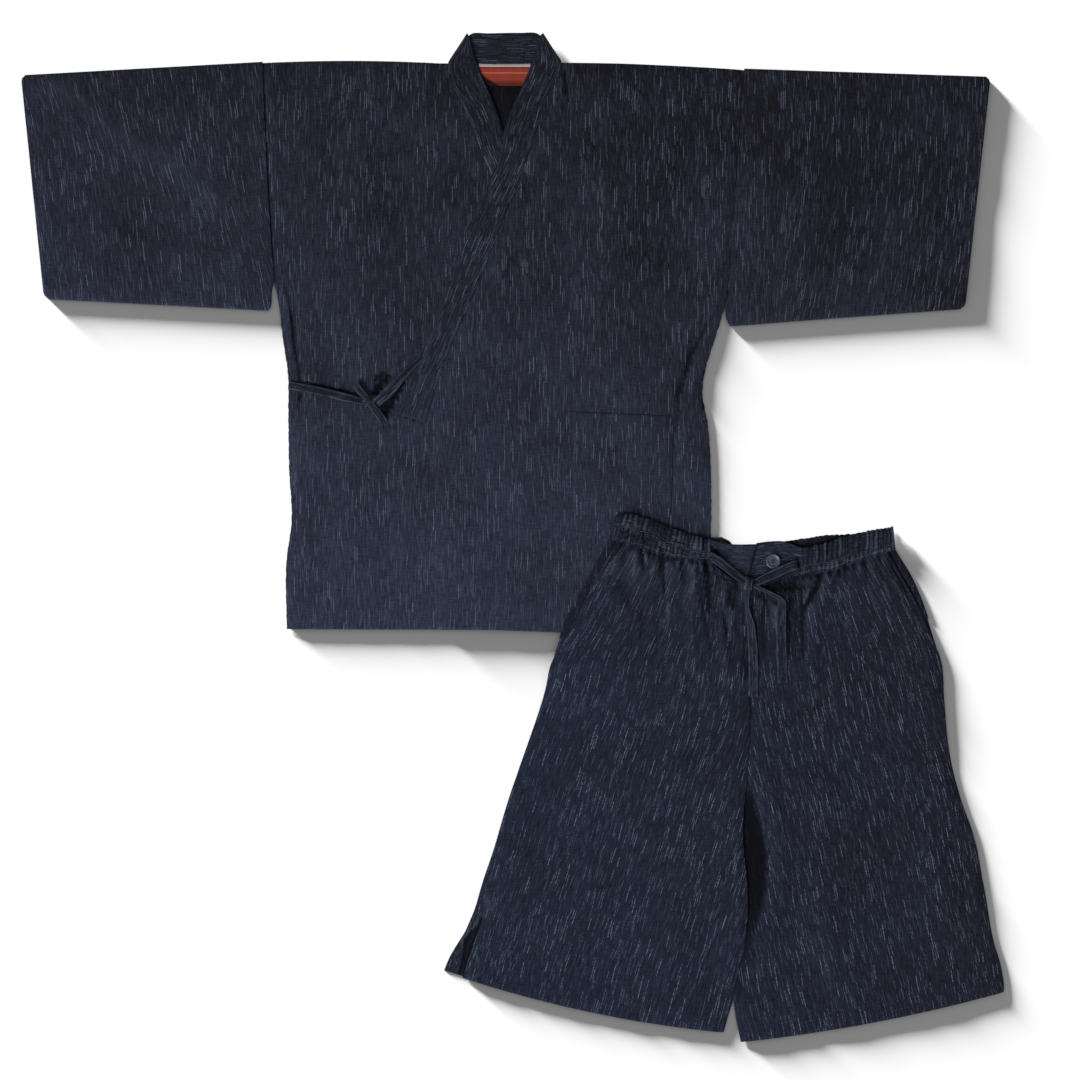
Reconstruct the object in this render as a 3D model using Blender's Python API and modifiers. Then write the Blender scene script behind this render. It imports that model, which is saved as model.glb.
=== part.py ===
"""A jinbei set laid flat: a wrap jacket, with shorts lying over its lower corner.

The jacket's sizes are millimetres from the nape, the middle of its back neckline. The shorts'
are millimetres from the middle of their front waist. X runs to the wearer's left, Y towards the
head and Z up from the surface that the set lies on. Each cloth piece is a sheet through
sections, given a wall by Solidify. Layers lie on each other in the order in which they are worn.
"""

import itertools
import math
from collections import namedtuple

import bpy
from mathutils import Matrix, Vector

MM = 0.001
NAPE = Vector((-11.75, 593.0, 0.0))  # of the jacket, from the middle of the set
WAIST = Vector((298.25, -9.5, 0.0))  # of the shorts

WALL = 1.0  # cloth with its turnings
BAND_WALL = 1.6  # collar band and straps, folded cloth
LABEL_WALL = 1.0
SEAM_GAP = 0.3
LAYER = WALL + SEAM_GAP
OVER_BAND = 3.3  # underside of the left front where the right collar band lies beneath
OVER_BAND_TO_X = 140.0  # the left front comes down from there to the next x
OFF_BAND_FROM_X = 205.0
LABEL_RISE = 1.4  # of the right collar band, over the label and the back collar
LABEL_RISE_FROM_Y = -90.0
LABEL_RISE_TO_Y = -40.0
POCKET_CLEARANCE = 0.2
OVER_JACKET = 6.0  # underside of the shorts where they lie on the jacket
SLOPE_FROM = 30.0  # past the jacket's edge, where the shorts start down to the surface
SLOPE_TO = 115.0
PANEL_HOLD = 0.12  # share of a panel's width that its seam holds down
WAIST_SEAM_Y = -45.0  # of the shorts at their middle
WAIST_SEAM_CURVE = 0.0016  # how it bends up to the sides, per mm
FRONT_RISE_START = 45.0  # below the waist seam, where the front rises over the pocket cloth
FRONT_RISE_END = 10.0
FOLDS_DIE_FROM = -40.0  # past the waist seam, where the folds of the legs die away
FOLDS_DIE_TO = -10.0
UNDER_COLLAR = (-110.0, -60.0)  # the right front's folds die away between these, beside the band
UNDER_COLLAR_LEAN = 0.25
UNDER_SHORTS = (-560.0, -480.0)  # and the left front's between these heights

CLOTH_CELL = 40.0  # longest side of a cell in a panel's net
BODY_COLUMNS = 9
LEG_CELL = 32.0
LEG_COLUMNS = 10
FLAT_CELL = 400.0  # of a panel with no folds
TRIM_CELL = 30.0
COLLAR_CELL = 45.0
BACK_BAND_CELL = 22.0

NAVY = (0.014, 0.018, 0.034)
NAVY_BAND = (0.017, 0.021, 0.038)
NAVY_INSIDE = (0.006, 0.007, 0.011)
ORANGE = (0.38, 0.06, 0.03)
WHITE = (0.75, 0.74, 0.72)
BUTTON_BLUE = (0.05, 0.06, 0.09)

# A section is a line across a piece. Sections follow each other down a body, or from right to
# left along a band, and bow moves the line's middle along Y.
Section = namedtuple("Section", "from_x from_y to_x to_y bow", defaults=(0.0,))
# A fold is a soft ridge along a line.
Fold = namedtuple("Fold", "from_x from_y to_x to_y width rise")
# A stop on a strap's middle line.
Stop = namedtuple("Stop", "x y z width")

BACK = (
    Section(-302.0, -0.5, 300.5, -9.5, 4.5),
    Section(-297.0, -128.0, 291.0, -140.0),
    Section(-288.3, -278.0, 283.2, -250.0),
    Section(-277.0, -320.0, 277.0, -308.0),
    Section(-271.0, -383.0, 252.0, -384.0),
    Section(-270.0, -420.0, 247.0, -411.0),
    Section(-269.0, -508.0, 258.0, -506.0),
    Section(-266.0, -574.0, 257.0, -574.0),
    Section(-272.0, -619.0, 257.0, -640.0),
    Section(-272.0, -707.5, 257.0, -721.0, -2.0),
)
FRONT_RIGHT = (
    Section(-302.0, -0.5, -72.2, -0.5),
    Section(-301.3, -21.0, -68.2, -21.0),
    Section(-300.0, -60.0, -49.0, -60.0),
    Section(-297.0, -128.0, -22.0, -128.0),
    Section(-288.3, -278.0, 33.0, -278.0),
    Section(-277.0, -320.0, 50.7, -320.0),
    Section(-271.0, -383.0, 74.0, -383.0),
    Section(-270.0, -445.0, 96.0, -448.0),
    Section(-269.0, -508.0, 98.0, -508.0),
    Section(-266.0, -574.0, 97.0, -574.0),
    Section(-272.0, -619.0, 96.0, -619.0),
    Section(-272.0, -707.5, 93.0, -709.0),
)
FRONT_LEFT = (
    Section(72.0, 1.5, 300.5, -9.5, 3.0),
    Section(50.0, -51.0, 297.0, -60.0),
    Section(37.0, -101.0, 293.0, -112.0),
    Section(13.5, -161.0, 288.6, -176.0),
    Section(-21.3, -251.0, 283.2, -250.0),
    Section(-44.5, -306.0, 277.0, -308.0),
    Section(-70.9, -370.0, 256.0, -370.0),
    Section(-85.4, -411.0, 247.0, -411.0),
    Section(-97.0, -452.0, 252.0, -450.0),
    Section(-98.5, -545.0, 257.5, -545.0),
    Section(-96.0, -640.0, 257.0, -640.0),
    Section(-93.0, -709.5, 257.0, -721.0, -2.0),
)
COLLAR_BACK = (
    Section(-55.0, 0.1, -50.0, 34.0),
    Section(-42.0, 0.1, -41.0, 38.5),
    Section(0.0, 0.1, 0.0, 38.5),
    Section(41.0, 0.1, 41.0, 38.5),
    Section(57.0, 0.1, 51.0, 34.0),
)
COLLAR_RIGHT = (
    Section(-47.0, 38.0, -44.5, 34.5),
    Section(-71.5, 1.0, -31.0, 1.0),
    Section(-67.5, -21.0, -23.0, -21.0),
    Section(-48.5, -60.0, -9.5, -57.0),
    Section(-21.5, -128.0, 8.0, -112.0),
    Section(-8.0, -161.0, 20.0, -143.0),
    Section(33.5, -278.0, 61.0, -266.0),
    Section(62.0, -345.0, 89.0, -334.0),
    Section(96.5, -448.0, 134.0, -437.0),
)
COLLAR_LEFT = (
    Section(45.0, 34.5, 49.0, 37.5),
    Section(34.0, 4.0, 71.5, 4.0),
    Section(16.5, -42.0, 49.3, -51.0),
    Section(0.0, -85.0, 36.3, -101.0),
    Section(-3.0, -111.0, 26.0, -126.0),
    Section(-17.0, -143.0, 12.8, -161.0),
    Section(-59.0, -251.0, -28.5, -267.0),
    Section(-89.0, -334.0, -62.0, -345.0),
    Section(-111.0, -386.0, -83.0, -400.0),
    Section(-135.5, -437.0, -98.0, -451.0),
)
PATCH_POCKET = (
    Section(85.0, -436.0, 211.0, -441.5),
    Section(86.0, -520.0, 210.0, -524.0),
    Section(88.0, -590.0, 207.0, -593.0),
)
NECK_LABEL = (
    Section(-34.0, -5.5, 33.0, -5.5),
    Section(-33.0, -18.0, 33.0, -18.0),
    Section(-22.0, -27.0, 33.0, -27.0),
)
LABEL_STRIP = (
    Section(-32.0, -0.5, 33.0, -0.5),
    Section(-32.0, -4.8, 33.0, -4.8),
)

Armhole = namedtuple("Armhole", "y x")
ARMHOLE_RIGHT = (
    Armhole(0.0, -303.0),
    Armhole(-128.0, -298.0),
    Armhole(-278.0, -289.3),
    Armhole(-310.0, -292.5),
)
ARMHOLE_LEFT = (
    Armhole(-9.0, 301.5),
    Armhole(-155.0, 291.0),
    Armhole(-250.0, 284.2),
    Armhole(-327.0, 280.0),
)
# The four corners of a sleeve. Its inner edge follows the armhole.
Sleeve = namedtuple("Sleeve", "top_y bottom_y cuff_top_x cuff_top_y cuff_bottom_x cuff_bottom_y")
SLEEVE_RIGHT = Sleeve(-0.5, -309.5, -601.5, -20.0, -573.0, -295.0)
SLEEVE_LEFT = Sleeve(-9.5, -327.0, 605.0, -20.0, 571.5, -303.0)
SLEEVE_RINGS = 8
SLEEVE_SIDE_POINTS = 8
SLEEVE_HEIGHT = 3.6

SHORTS_BACK_RIGHT = (
    Section(-173.0, 22.0, -4.0, -14.0),
    Section(-206.0, -44.0, -4.0, -60.0),
    Section(-234.0, -96.0, -4.0, -110.0),
    Section(-252.0, -147.0, -4.0, -155.0),
    Section(-259.0, -182.0, -4.0, -195.0),
    Section(-292.0, -281.0, -4.0, -281.0),
    Section(-305.0, -319.0, -14.0, -322.0),
    Section(-321.0, -380.0, -22.0, -370.0),
    Section(-344.0, -437.0, -21.0, -430.0),
    Section(-360.0, -486.0, -14.0, -491.0),
    Section(-377.0, -517.0, -26.0, -545.0),
    Section(-384.0, -530.0, -32.0, -585.0, -6.0),
    Section(-378.0, -537.0, -36.0, -609.0, -9.0),
)
SHORTS_FRONT_RIGHT = (
    Section(-160.0, 18.0, -4.0, -28.0, 5.0),
    Section(-200.5, -51.0, -3.5, -75.0),
    Section(-219.0, -92.0, -3.5, -112.0),
    Section(-251.0, -147.0, -3.5, -155.0),
    Section(-259.0, -182.0, -3.5, -195.0),
    Section(-292.0, -281.0, -4.0, -281.0),
    Section(-305.0, -319.0, -11.0, -322.0),
    Section(-321.0, -380.0, -11.0, -370.0),
    Section(-338.0, -437.0, -6.0, -430.0),
    Section(-343.0, -486.0, -1.0, -491.0),
    Section(-351.0, -517.0, -18.5, -545.0),
    Section(-355.0, -530.0, -29.5, -585.0, -6.0),
    Section(-357.0, -542.0, -35.5, -609.5, -9.0),
)
SHORTS_BACK_LEFT = (
    Section(-2.0, -14.0, 172.0, 5.0),
    Section(-2.0, -60.0, 203.0, -45.0),
    Section(-2.0, -110.0, 225.0, -109.0),
    Section(-2.0, -145.0, 235.0, -143.0),
    Section(-2.0, -195.0, 240.0, -195.0),
    Section(-2.0, -279.0, 251.0, -279.0),
    Section(-9.0, -319.0, 262.0, -320.0),
    Section(-17.0, -369.0, 276.0, -365.0),
    Section(-15.0, -431.0, 291.0, -425.0),
    Section(-3.0, -488.0, 300.0, -484.0),
    Section(-15.0, -539.0, 310.0, -525.0, -3.0),
    Section(-22.0, -578.0, 314.0, -548.0, -5.0),
    Section(-14.0, -621.5, 315.0, -559.0, -7.0),
)
SHORTS_FRONT_LEFT = (
    Section(-3.0, -28.0, 165.0, 0.0),
    Section(-3.0, -75.0, 206.0, -69.0),
    Section(-3.0, -112.0, 224.0, -109.0),
    Section(-2.5, -145.0, 235.0, -143.0),
    Section(-2.5, -195.0, 240.0, -195.0),
    Section(-2.0, -279.0, 251.0, -279.0),
    Section(-9.0, -319.0, 262.0, -320.0),
    Section(-17.0, -369.0, 276.0, -365.0),
    Section(-15.0, -431.0, 291.0, -425.0),
    Section(-3.0, -488.0, 300.0, -484.0),
    Section(-15.0, -539.0, 310.0, -525.0, -3.0),
    Section(-22.0, -578.0, 314.0, -548.0, -5.0),
    Section(-14.0, -622.0, 315.0, -559.0, -7.0),
)
POCKET_SIDE_RIGHT = (
    Section(-180.0, 4.0, -170.2, 4.0),
    Section(-207.0, -44.0, -197.8, -44.0),
    Section(-221.0, -70.0, -211.0, -70.0),
    Section(-235.0, -96.0, -223.3, -96.0),
    Section(-241.0, -116.0, -235.0, -116.0),
)
POCKET_SIDE_LEFT = (
    Section(174.8, -14.0, 184.5, -14.0),
    Section(189.7, -39.0, 199.0, -39.0),
    Section(207.3, -69.0, 213.0, -69.0),
    Section(218.3, -92.0, 221.0, -92.0),
)
WAISTBAND_BACK = (
    Section(-174.0, 8.0, -169.5, 37.5),
    Section(-111.0, -11.0, -104.0, 20.0),
    Section(-52.0, -20.0, -50.0, 6.5),
    Section(-14.0, -32.0, -14.0, 0.0),
    Section(42.0, -30.0, 42.0, 6.0),
    Section(77.0, -24.0, 77.0, 10.0),
    Section(129.0, -14.0, 129.0, 17.5),
    Section(178.0, -3.0, 175.0, 24.0),
)
WAISTBAND_RIGHT = (
    Section(-175.0, 7.0, -170.5, 39.0),
    Section(-111.0, -13.0, -104.0, 21.0),
    Section(-52.0, -20.0, -50.0, 7.0),
    Section(-28.0, -36.0, -28.0, 5.0),
    Section(-4.5, -44.0, 5.5, 2.0),
)
WAISTBAND_LEFT = (
    Section(-3.5, -44.5, 6.5, 2.0),
    Section(25.0, -43.0, 27.0, 2.0),
    Section(62.0, -41.0, 62.0, -1.0),
    Section(104.0, -30.0, 108.0, 0.0),
    Section(140.0, -18.0, 141.0, 9.0),
    Section(179.0, -5.0, 176.5, 22.0),
)

JACKET_FOLDS = (
    Fold(-5.0, -195.0, -25.0, -330.0, 16.0, 2.6),
    Fold(225.0, -300.0, 200.0, -420.0, 14.0, 4.0),
    Fold(150.0, -30.0, 240.0, -220.0, 26.0, 2.4),
    Fold(30.0, -480.0, 36.0, -640.0, 22.0, 2.0),
    Fold(-190.0, -60.0, -160.0, -250.0, 24.0, 2.6),
    Fold(-252.0, -290.0, -236.0, -440.0, 12.0, 3.0),
    Fold(-200.0, -480.0, -190.0, -660.0, 26.0, 2.2),
)
SLEEVE_FOLDS = (
    Fold(-560.0, -60.0, -330.0, -190.0, 26.0, 3.2),
    Fold(-540.0, -200.0, -350.0, -260.0, 22.0, 2.0),
    Fold(340.0, -60.0, 560.0, -90.0, 24.0, 2.2),
    Fold(330.0, -270.0, 500.0, -170.0, 26.0, 3.0),
)
SHORTS_FOLDS = (
    Fold(-150.0, -25.0, -185.0, -110.0, 9.0, 5.0),
    Fold(-118.0, -35.0, -140.0, -120.0, 9.0, 4.0),
    Fold(-86.0, -40.0, -92.0, -150.0, 9.0, 5.0),
    Fold(-52.0, -50.0, -60.0, -170.0, 9.0, 4.5),
    Fold(-27.0, -70.0, -30.0, -150.0, 8.0, 4.0),
    Fold(76.0, -60.0, 66.0, -140.0, 9.0, 5.0),
    Fold(108.0, -55.0, 118.0, -150.0, 10.0, 4.5),
    Fold(140.0, -45.0, 165.0, -140.0, 9.0, 4.0),
    Fold(60.0, -195.0, 150.0, -150.0, 16.0, 3.5),
    Fold(-60.0, -260.0, -170.0, -300.0, 20.0, 4.0),
    Fold(40.0, -250.0, 150.0, -330.0, 20.0, 3.5),
    Fold(-190.0, -360.0, -250.0, -520.0, 24.0, 4.5),
    Fold(-90.0, -420.0, -105.0, -560.0, 24.0, 4.0),
    Fold(90.0, -400.0, 120.0, -570.0, 24.0, 4.0),
    Fold(210.0, -380.0, 245.0, -540.0, 24.0, 4.5),
)
LEG_OVER_LEG = Fold(-14.0, -330.0, -4.0, -492.0, 26.0, 9.0)  # right leg over the left leg
LEG_OVER_SHARE = (0.75, 1.0)  # share of the leg's width where it rises

SIDE_TIE = (
    Stop(-268.0, -402.0, 0.6, 9.5),
    Stop(-235.0, -410.0, 3.2, 9.5),
    Stop(-205.0, -418.0, 4.2, 9.5),
    Stop(-182.0, -423.5, 4.6, 9.0),
)
COLLAR_TIE = (
    Stop(-112.0, -372.0, 1.6, 12.0),
    Stop(-122.0, -382.0, 6.5, 12.0),
    Stop(-132.0, -393.0, 9.0, 12.5),
    Stop(-144.0, -408.0, 8.0, 13.0),
    Stop(-151.0, -417.5, 6.0, 11.0),
)
TIE_ENDS = (
    Stop(-184.0, -402.5, 1.0, 10.0),
    Stop(-174.0, -415.0, 0.6, 10.0),
    Stop(-160.0, -433.0, 0.6, 10.0),
    Stop(-149.0, -450.0, 0.8, 10.0),
)
TIE_KNOT = Stop(-165.5, -424.0, 6.6, 17.0)
KNOT_SHAPE = (1.0, 0.95, 0.52)  # length, width and height for each mm of its stop's width

GATHER_STEP = 18.0  # from one ridge of the gathered waistband to the next
GATHER_RISE = 2.0
GATHER_RIGHT = (-60.0, -42.0)  # the band is flat between these two stretches
GATHER_LEFT = (62.0, 76.0)

LOOP_TURN = 2.6  # half the height of a loop's turned end
LOOP_RIGHT_TIP = Vector((-52.0, -17.0))
LOOP_LEFT_TIP = Vector((56.0, -27.0))
LOOP_WIDTH = 12.0
LOOP_START = 11.0  # from the knot's middle
LOOP_CLEARANCE = 0.8
LOOP_RUN_STEPS = 3
LOOP_TURN_STEPS = 4
KNOT_MIDDLE = Vector((-5.0, -46.0))
DRAWSTRING_KNOT = Stop(KNOT_MIDDLE.x, KNOT_MIDDLE.y, 6.7, 17.0)
END_RIGHT = (
    Stop(-9.0, -60.0, 1.6, 10.0),
    Stop(-5.0, -80.0, 1.4, 12.5),
    Stop(-1.0, -100.0, 1.2, 12.5),
    Stop(3.0, -150.0, 1.2, 12.5),
    Stop(2.0, -190.0, 1.2, 12.5),
)
END_LEFT = (
    Stop(9.0, -56.0, 1.4, 10.0),
    Stop(24.0, -64.0, 1.4, 12.0),
    Stop(33.0, -78.0, 1.2, 12.5),
    Stop(36.0, -110.0, 1.2, 12.5),
    Stop(39.0, -176.0, 1.2, 12.5),
)

BUTTON_PLACE = (26.0, -20.0)
BUTTON_RADIUS = 9.0
BUTTON_THICKNESS = 2.6
BUTTON_RIM = 1.6
BUTTON_HOLE_RADIUS = 0.9
BUTTON_HOLE_SPREAD = 1.9
BUTTON_EDGE = 0.6
BUTTON_DISH = 1.2
BUTTON_SIDES = 28
BUTTON_HOLE_SIDES = 8


def clear_scene():
    for found in list(bpy.data.objects):
        bpy.data.objects.remove(found)


def collection_of(name, hidden=False):
    made = bpy.data.collections.new(name)
    bpy.context.scene.collection.children.link(made)
    made.hide_render = hidden
    return made


def origin_of(name, spot, collection):
    """An empty that carries one garment, at the point that its sizes start from."""
    made = bpy.data.objects.new(name, None)
    made.location = spot * MM
    collection.objects.link(made)
    return made


def material(name, colour, roughness):
    made = bpy.data.materials.new(name)
    made.use_nodes = True
    made.diffuse_color = (*colour, 1.0)
    shader = made.node_tree.nodes["Principled BSDF"]
    shader.inputs["Base Color"].default_value = (*colour, 1.0)
    shader.inputs["Roughness"].default_value = roughness
    shader.inputs["Metallic"].default_value = 0.0
    return made


def between(low, high, share):
    return low + (high - low) * share


def ease(low, high, value):
    """0 below low, 1 above high, smooth between them."""
    share = min(1.0, max(0.0, (value - low) / (high - low)))
    return share * share * (3.0 - 2.0 * share)


def rise_of(folds, x, y):
    total = 0.0
    for fold in folds:
        along = Vector((fold.to_x - fold.from_x, fold.to_y - fold.from_y))
        reach = Vector((x - fold.from_x, y - fold.from_y))
        share = min(1.0, max(0.0, reach.dot(along) / along.length_squared))
        away = (reach - along * share).length
        total += fold.rise * math.exp(-((away / fold.width) ** 2))
    return total


def seam_hold(across):
    """0 at a panel's two long edges, where it is sewn down, and 1 inside them."""
    return ease(0.0, PANEL_HOLD, across) * ease(0.0, PANEL_HOLD, 1.0 - across)


# Undersides of the layers.


def left_front_base(x):
    return between(OVER_BAND, LAYER, ease(OVER_BAND_TO_X, OFF_BAND_FROM_X, x))


def collar_right_base(y):
    return LAYER + LABEL_RISE * ease(LABEL_RISE_FROM_Y, LABEL_RISE_TO_Y, y)


def shorts_base(x, y):
    """The shorts' underside: on the jacket's corner, then down to the surface round it."""
    jacket_side = NAPE.x + 258.0 - WAIST.x
    jacket_hem = NAPE.y - 722.0 - WAIST.y
    past = math.hypot(max(0.0, x - jacket_side), max(0.0, jacket_hem - y))
    return OVER_JACKET * (1.0 - ease(SLOPE_FROM, SLOPE_TO, past))


def waist_seam(x):
    return WAIST_SEAM_Y + WAIST_SEAM_CURVE * x * x


def shorts_front_base(x, y):
    seam = waist_seam(x)
    return shorts_base(x, y) + LAYER * (1.0 + ease(seam - FRONT_RISE_START, seam - FRONT_RISE_END, y))


def shorts_front_under(x, y, across):
    free = 1.0 - ease(FOLDS_DIE_FROM, FOLDS_DIE_TO, y - waist_seam(x))
    return shorts_front_base(x, y) + rise_of(SHORTS_FOLDS, x, y) * seam_hold(across) * free


def waistband_under(x, y):
    return shorts_base(x, y) + 3.0 * LAYER


# Meshes.


def mesh_object(name, points, faces, place, finish, collection):
    mesh = bpy.data.meshes.new(name)
    mesh.from_pydata([Vector(point) * MM for point in points], [], faces)
    mesh.update()
    mesh.shade_smooth()
    mesh.materials.append(finish)
    made = bpy.data.objects.new(name, mesh)
    made.parent = place
    collection.objects.link(made)
    return made


def adopt(made, name, place, collection):
    """Takes a new primitive, whose location is from its garment's origin."""
    made.name = name
    made.data.name = name
    made.parent = place
    for owner in list(made.users_collection):
        owner.objects.unlink(made)
    collection.objects.link(made)


def wall(made, thickness, outward=True):
    shell = made.modifiers.new("wall", "SOLIDIFY")
    shell.thickness = thickness * MM
    shell.offset = 1.0 if outward else -1.0
    shell.use_even_offset = False


def grid_faces(rows, columns, closed=False):
    wide = columns if closed else columns + 1
    return [
        (
            row * wide + column,
            (row + 1) * wide + column,
            (row + 1) * wide + (column + 1) % wide,
            row * wide + (column + 1) % wide,
        )
        for row in range(rows)
        for column in range(columns)
    ]


def section_lines(sections, cell):
    """The sections, with more between them so that no cell is much longer than cell."""
    lines = [sections[0]]
    for first, second in itertools.pairwise(sections):
        from_side = math.hypot(second.from_x - first.from_x, second.from_y - first.from_y)
        to_side = math.hypot(second.to_x - first.to_x, second.to_y - first.to_y)
        steps = max(1, round(max(from_side, to_side) / cell))
        for step in range(1, steps + 1):
            pairs = zip(first, second, strict=True)
            lines.append(Section(*(between(a, b, step / steps) for a, b in pairs)))
    return lines


def panel(name, sections, columns, cell, under, place, finish, collection, thickness=WALL):
    """A sheet through the sections, its underside at under(x, y, share across)."""
    lines = section_lines(sections, cell)
    points = []
    for line in lines:
        for column in range(columns + 1):
            across = column / columns
            x = between(line.from_x, line.to_x, across)
            y = between(line.from_y, line.to_y, across) + line.bow * 4.0 * across * (1.0 - across)
            points.append((x, y, under(x, y, across)))
    made = mesh_object(name, points, grid_faces(len(lines) - 1, columns), place, finish, collection)
    wall(made, thickness)
    return made


def armhole_x(armhole, y):
    for above, below in itertools.pairwise(armhole):
        if y >= below.y or below is armhole[-1]:
            share = min(1.0, max(0.0, (above.y - y) / (above.y - below.y)))
            return between(above.x, below.x, share)


def sleeve(name, cut, armhole, folds, place, finish, collection):
    """A flat tube, open at its armhole and cuff. Its rings run over the top fold and back under."""
    sides = [side / SLEEVE_SIDE_POINTS for side in range(SLEEVE_SIDE_POINTS + 1)]
    upper = [(side, True) for side in sides[1:-1]]
    lower = [(side, False) for side in reversed(sides[1:-1])]
    around = [(0.0, None), *upper, (1.0, None), *lower]
    points = []
    for ring in range(SLEEVE_RINGS + 1):
        out = ring / SLEEVE_RINGS
        top = between(cut.top_y, cut.cuff_top_y, out)
        bottom = between(cut.bottom_y, cut.cuff_bottom_y, out)
        for side, on_top in around:
            y = between(top, bottom, side)
            down_cuff = (y - cut.cuff_top_y) / (cut.cuff_bottom_y - cut.cuff_top_y)
            cuff_x = between(cut.cuff_top_x, cut.cuff_bottom_x, down_cuff)
            x = between(armhole_x(armhole, y), cuff_x, out)
            z = 0.0
            if on_top is None:
                z = SLEEVE_HEIGHT / 2.0
            elif on_top:
                hold = ease(0.0, PANEL_HOLD, out)
                z = SLEEVE_HEIGHT + rise_of(folds, x, y) * hold * seam_hold(side)
            points.append((x, y, z))
    faces = grid_faces(SLEEVE_RINGS, len(around), closed=True)
    if cut.cuff_top_x > 0.0:
        faces = [face[::-1] for face in faces]
    made = mesh_object(name, points, faces, place, finish, collection)
    wall(made, WALL, outward=False)
    return made


def strap(name, stops, lies_on, place, finish, collection, thickness=BAND_WALL):
    """A flat strap along its stops. Each stop's z is the height over what the strap lies on."""
    points = []
    for number, stop in enumerate(stops):
        before = stops[max(0, number - 1)]
        after = stops[min(len(stops) - 1, number + 1)]
        run = Vector((after.x - before.x, after.y - before.y)).normalized()
        side = Vector((-run.y, run.x)) * stop.width / 2.0
        z = lies_on(stop.x, stop.y) + stop.z
        points.append((stop.x - side.x, stop.y - side.y, z))
        points.append((stop.x + side.x, stop.y + side.y, z))
    made = mesh_object(name, points, grid_faces(len(stops) - 1, 1), place, finish, collection)
    wall(made, thickness)
    return made


def knot(name, stop, lies_on, place, finish, collection):
    """A soft knot from a coarse cage, its middle at the stop."""
    middle = Vector((stop.x, stop.y, lies_on(stop.x, stop.y) + stop.z))
    bpy.ops.mesh.primitive_cube_add(size=stop.width * MM, location=middle * MM)
    made = bpy.context.active_object
    adopt(made, name, place, collection)
    made.data.transform(Matrix.Diagonal((*KNOT_SHAPE, 1.0)))
    made.data.materials.append(finish)
    soft = made.modifiers.new("soft", "SUBSURF")
    soft.levels = 2
    soft.render_levels = 2
    made.data.shade_smooth()
    return made


def loops(name, lies_on, place, finish, collection):
    """Both loops as one strap: from the knot over to a tip, back under the knot to the other."""
    path = []
    for tip, first in ((LOOP_RIGHT_TIP, True), (LOOP_LEFT_TIP, False)):
        out = (tip - KNOT_MIDDLE).normalized()
        near = KNOT_MIDDLE + out * LOOP_START
        half = []
        for step in range(LOOP_RUN_STEPS + 1):
            half.append((near.lerp(tip, step / LOOP_RUN_STEPS), 2.0 * LOOP_TURN))
        for step in range(1, LOOP_TURN_STEPS):
            angle = math.pi * step / LOOP_TURN_STEPS
            spot = tip + out * LOOP_TURN * math.sin(angle)
            half.append((spot, LOOP_TURN * (1.0 + math.cos(angle))))
        for step in range(LOOP_RUN_STEPS + 1):
            half.append((tip.lerp(near, step / LOOP_RUN_STEPS), 0.0))
        path += half if first else half[::-1]
    level = max(lies_on(*spot) for spot, _ in path) + LOOP_CLEARANCE
    points = []
    for number, (spot, height) in enumerate(path):
        first = number < len(path) / 2
        tip = LOOP_RIGHT_TIP if first else LOOP_LEFT_TIP
        out = (tip - KNOT_MIDDLE).normalized()
        side = Vector((-out.y, out.x)) * LOOP_WIDTH / 2.0
        if first:
            side = -side
        z = level + height
        points.append((spot.x - side.x, spot.y - side.y, z))
        points.append((spot.x + side.x, spot.y + side.y, z))
    made = mesh_object(name, points, grid_faces(len(path) - 1, 1), place, finish, collection)
    wall(made, WALL)
    return made


def button(name, base, place, finish, collection, cutters):
    x, y = BUTTON_PLACE
    foot = Vector((x, y, base)) * MM
    bpy.ops.mesh.primitive_cylinder_add(
        vertices=BUTTON_SIDES,
        radius=BUTTON_RADIUS * MM,
        depth=BUTTON_THICKNESS * MM,
        location=foot + Vector((0.0, 0.0, BUTTON_THICKNESS / 2.0 * MM)),
    )
    made = bpy.context.active_object
    adopt(made, name, place, collection)
    made.data.materials.append(finish)
    edge = made.modifiers.new("edge", "BEVEL")
    edge.width = BUTTON_EDGE * MM
    edge.segments = 2
    edge.limit_method = "ANGLE"
    inner = BUTTON_RADIUS - BUTTON_RIM
    dish = cutter(
        "button_dish", inner, BUTTON_DISH, foot, BUTTON_THICKNESS, BUTTON_SIDES, place, cutters
    )
    holes = []
    for number in range(4):
        turn = math.pi * (0.25 + 0.5 * number)
        spot = foot + Vector((math.cos(turn), math.sin(turn), 0.0)) * BUTTON_HOLE_SPREAD * MM
        holes.append(
            cutter(
                f"button_hole_{number}",
                BUTTON_HOLE_RADIUS,
                4.0 * BUTTON_THICKNESS,
                spot,
                BUTTON_THICKNESS / 2.0,
                BUTTON_HOLE_SIDES,
                place,
                cutters,
            )
        )
    for tool in (dish, *holes):
        cut = made.modifiers.new(tool.name, "BOOLEAN")
        cut.operation = "DIFFERENCE"
        cut.object = tool
    return made


def cutter(name, radius, depth, foot, height, sides, place, cutters):
    bpy.ops.mesh.primitive_cylinder_add(
        vertices=sides,
        radius=radius * MM,
        depth=depth * MM,
        location=foot + Vector((0.0, 0.0, height * MM)),
    )
    made = bpy.context.active_object
    adopt(made, name, place, cutters)
    made.hide_render = True
    made.display_type = "WIRE"
    return made


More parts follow.
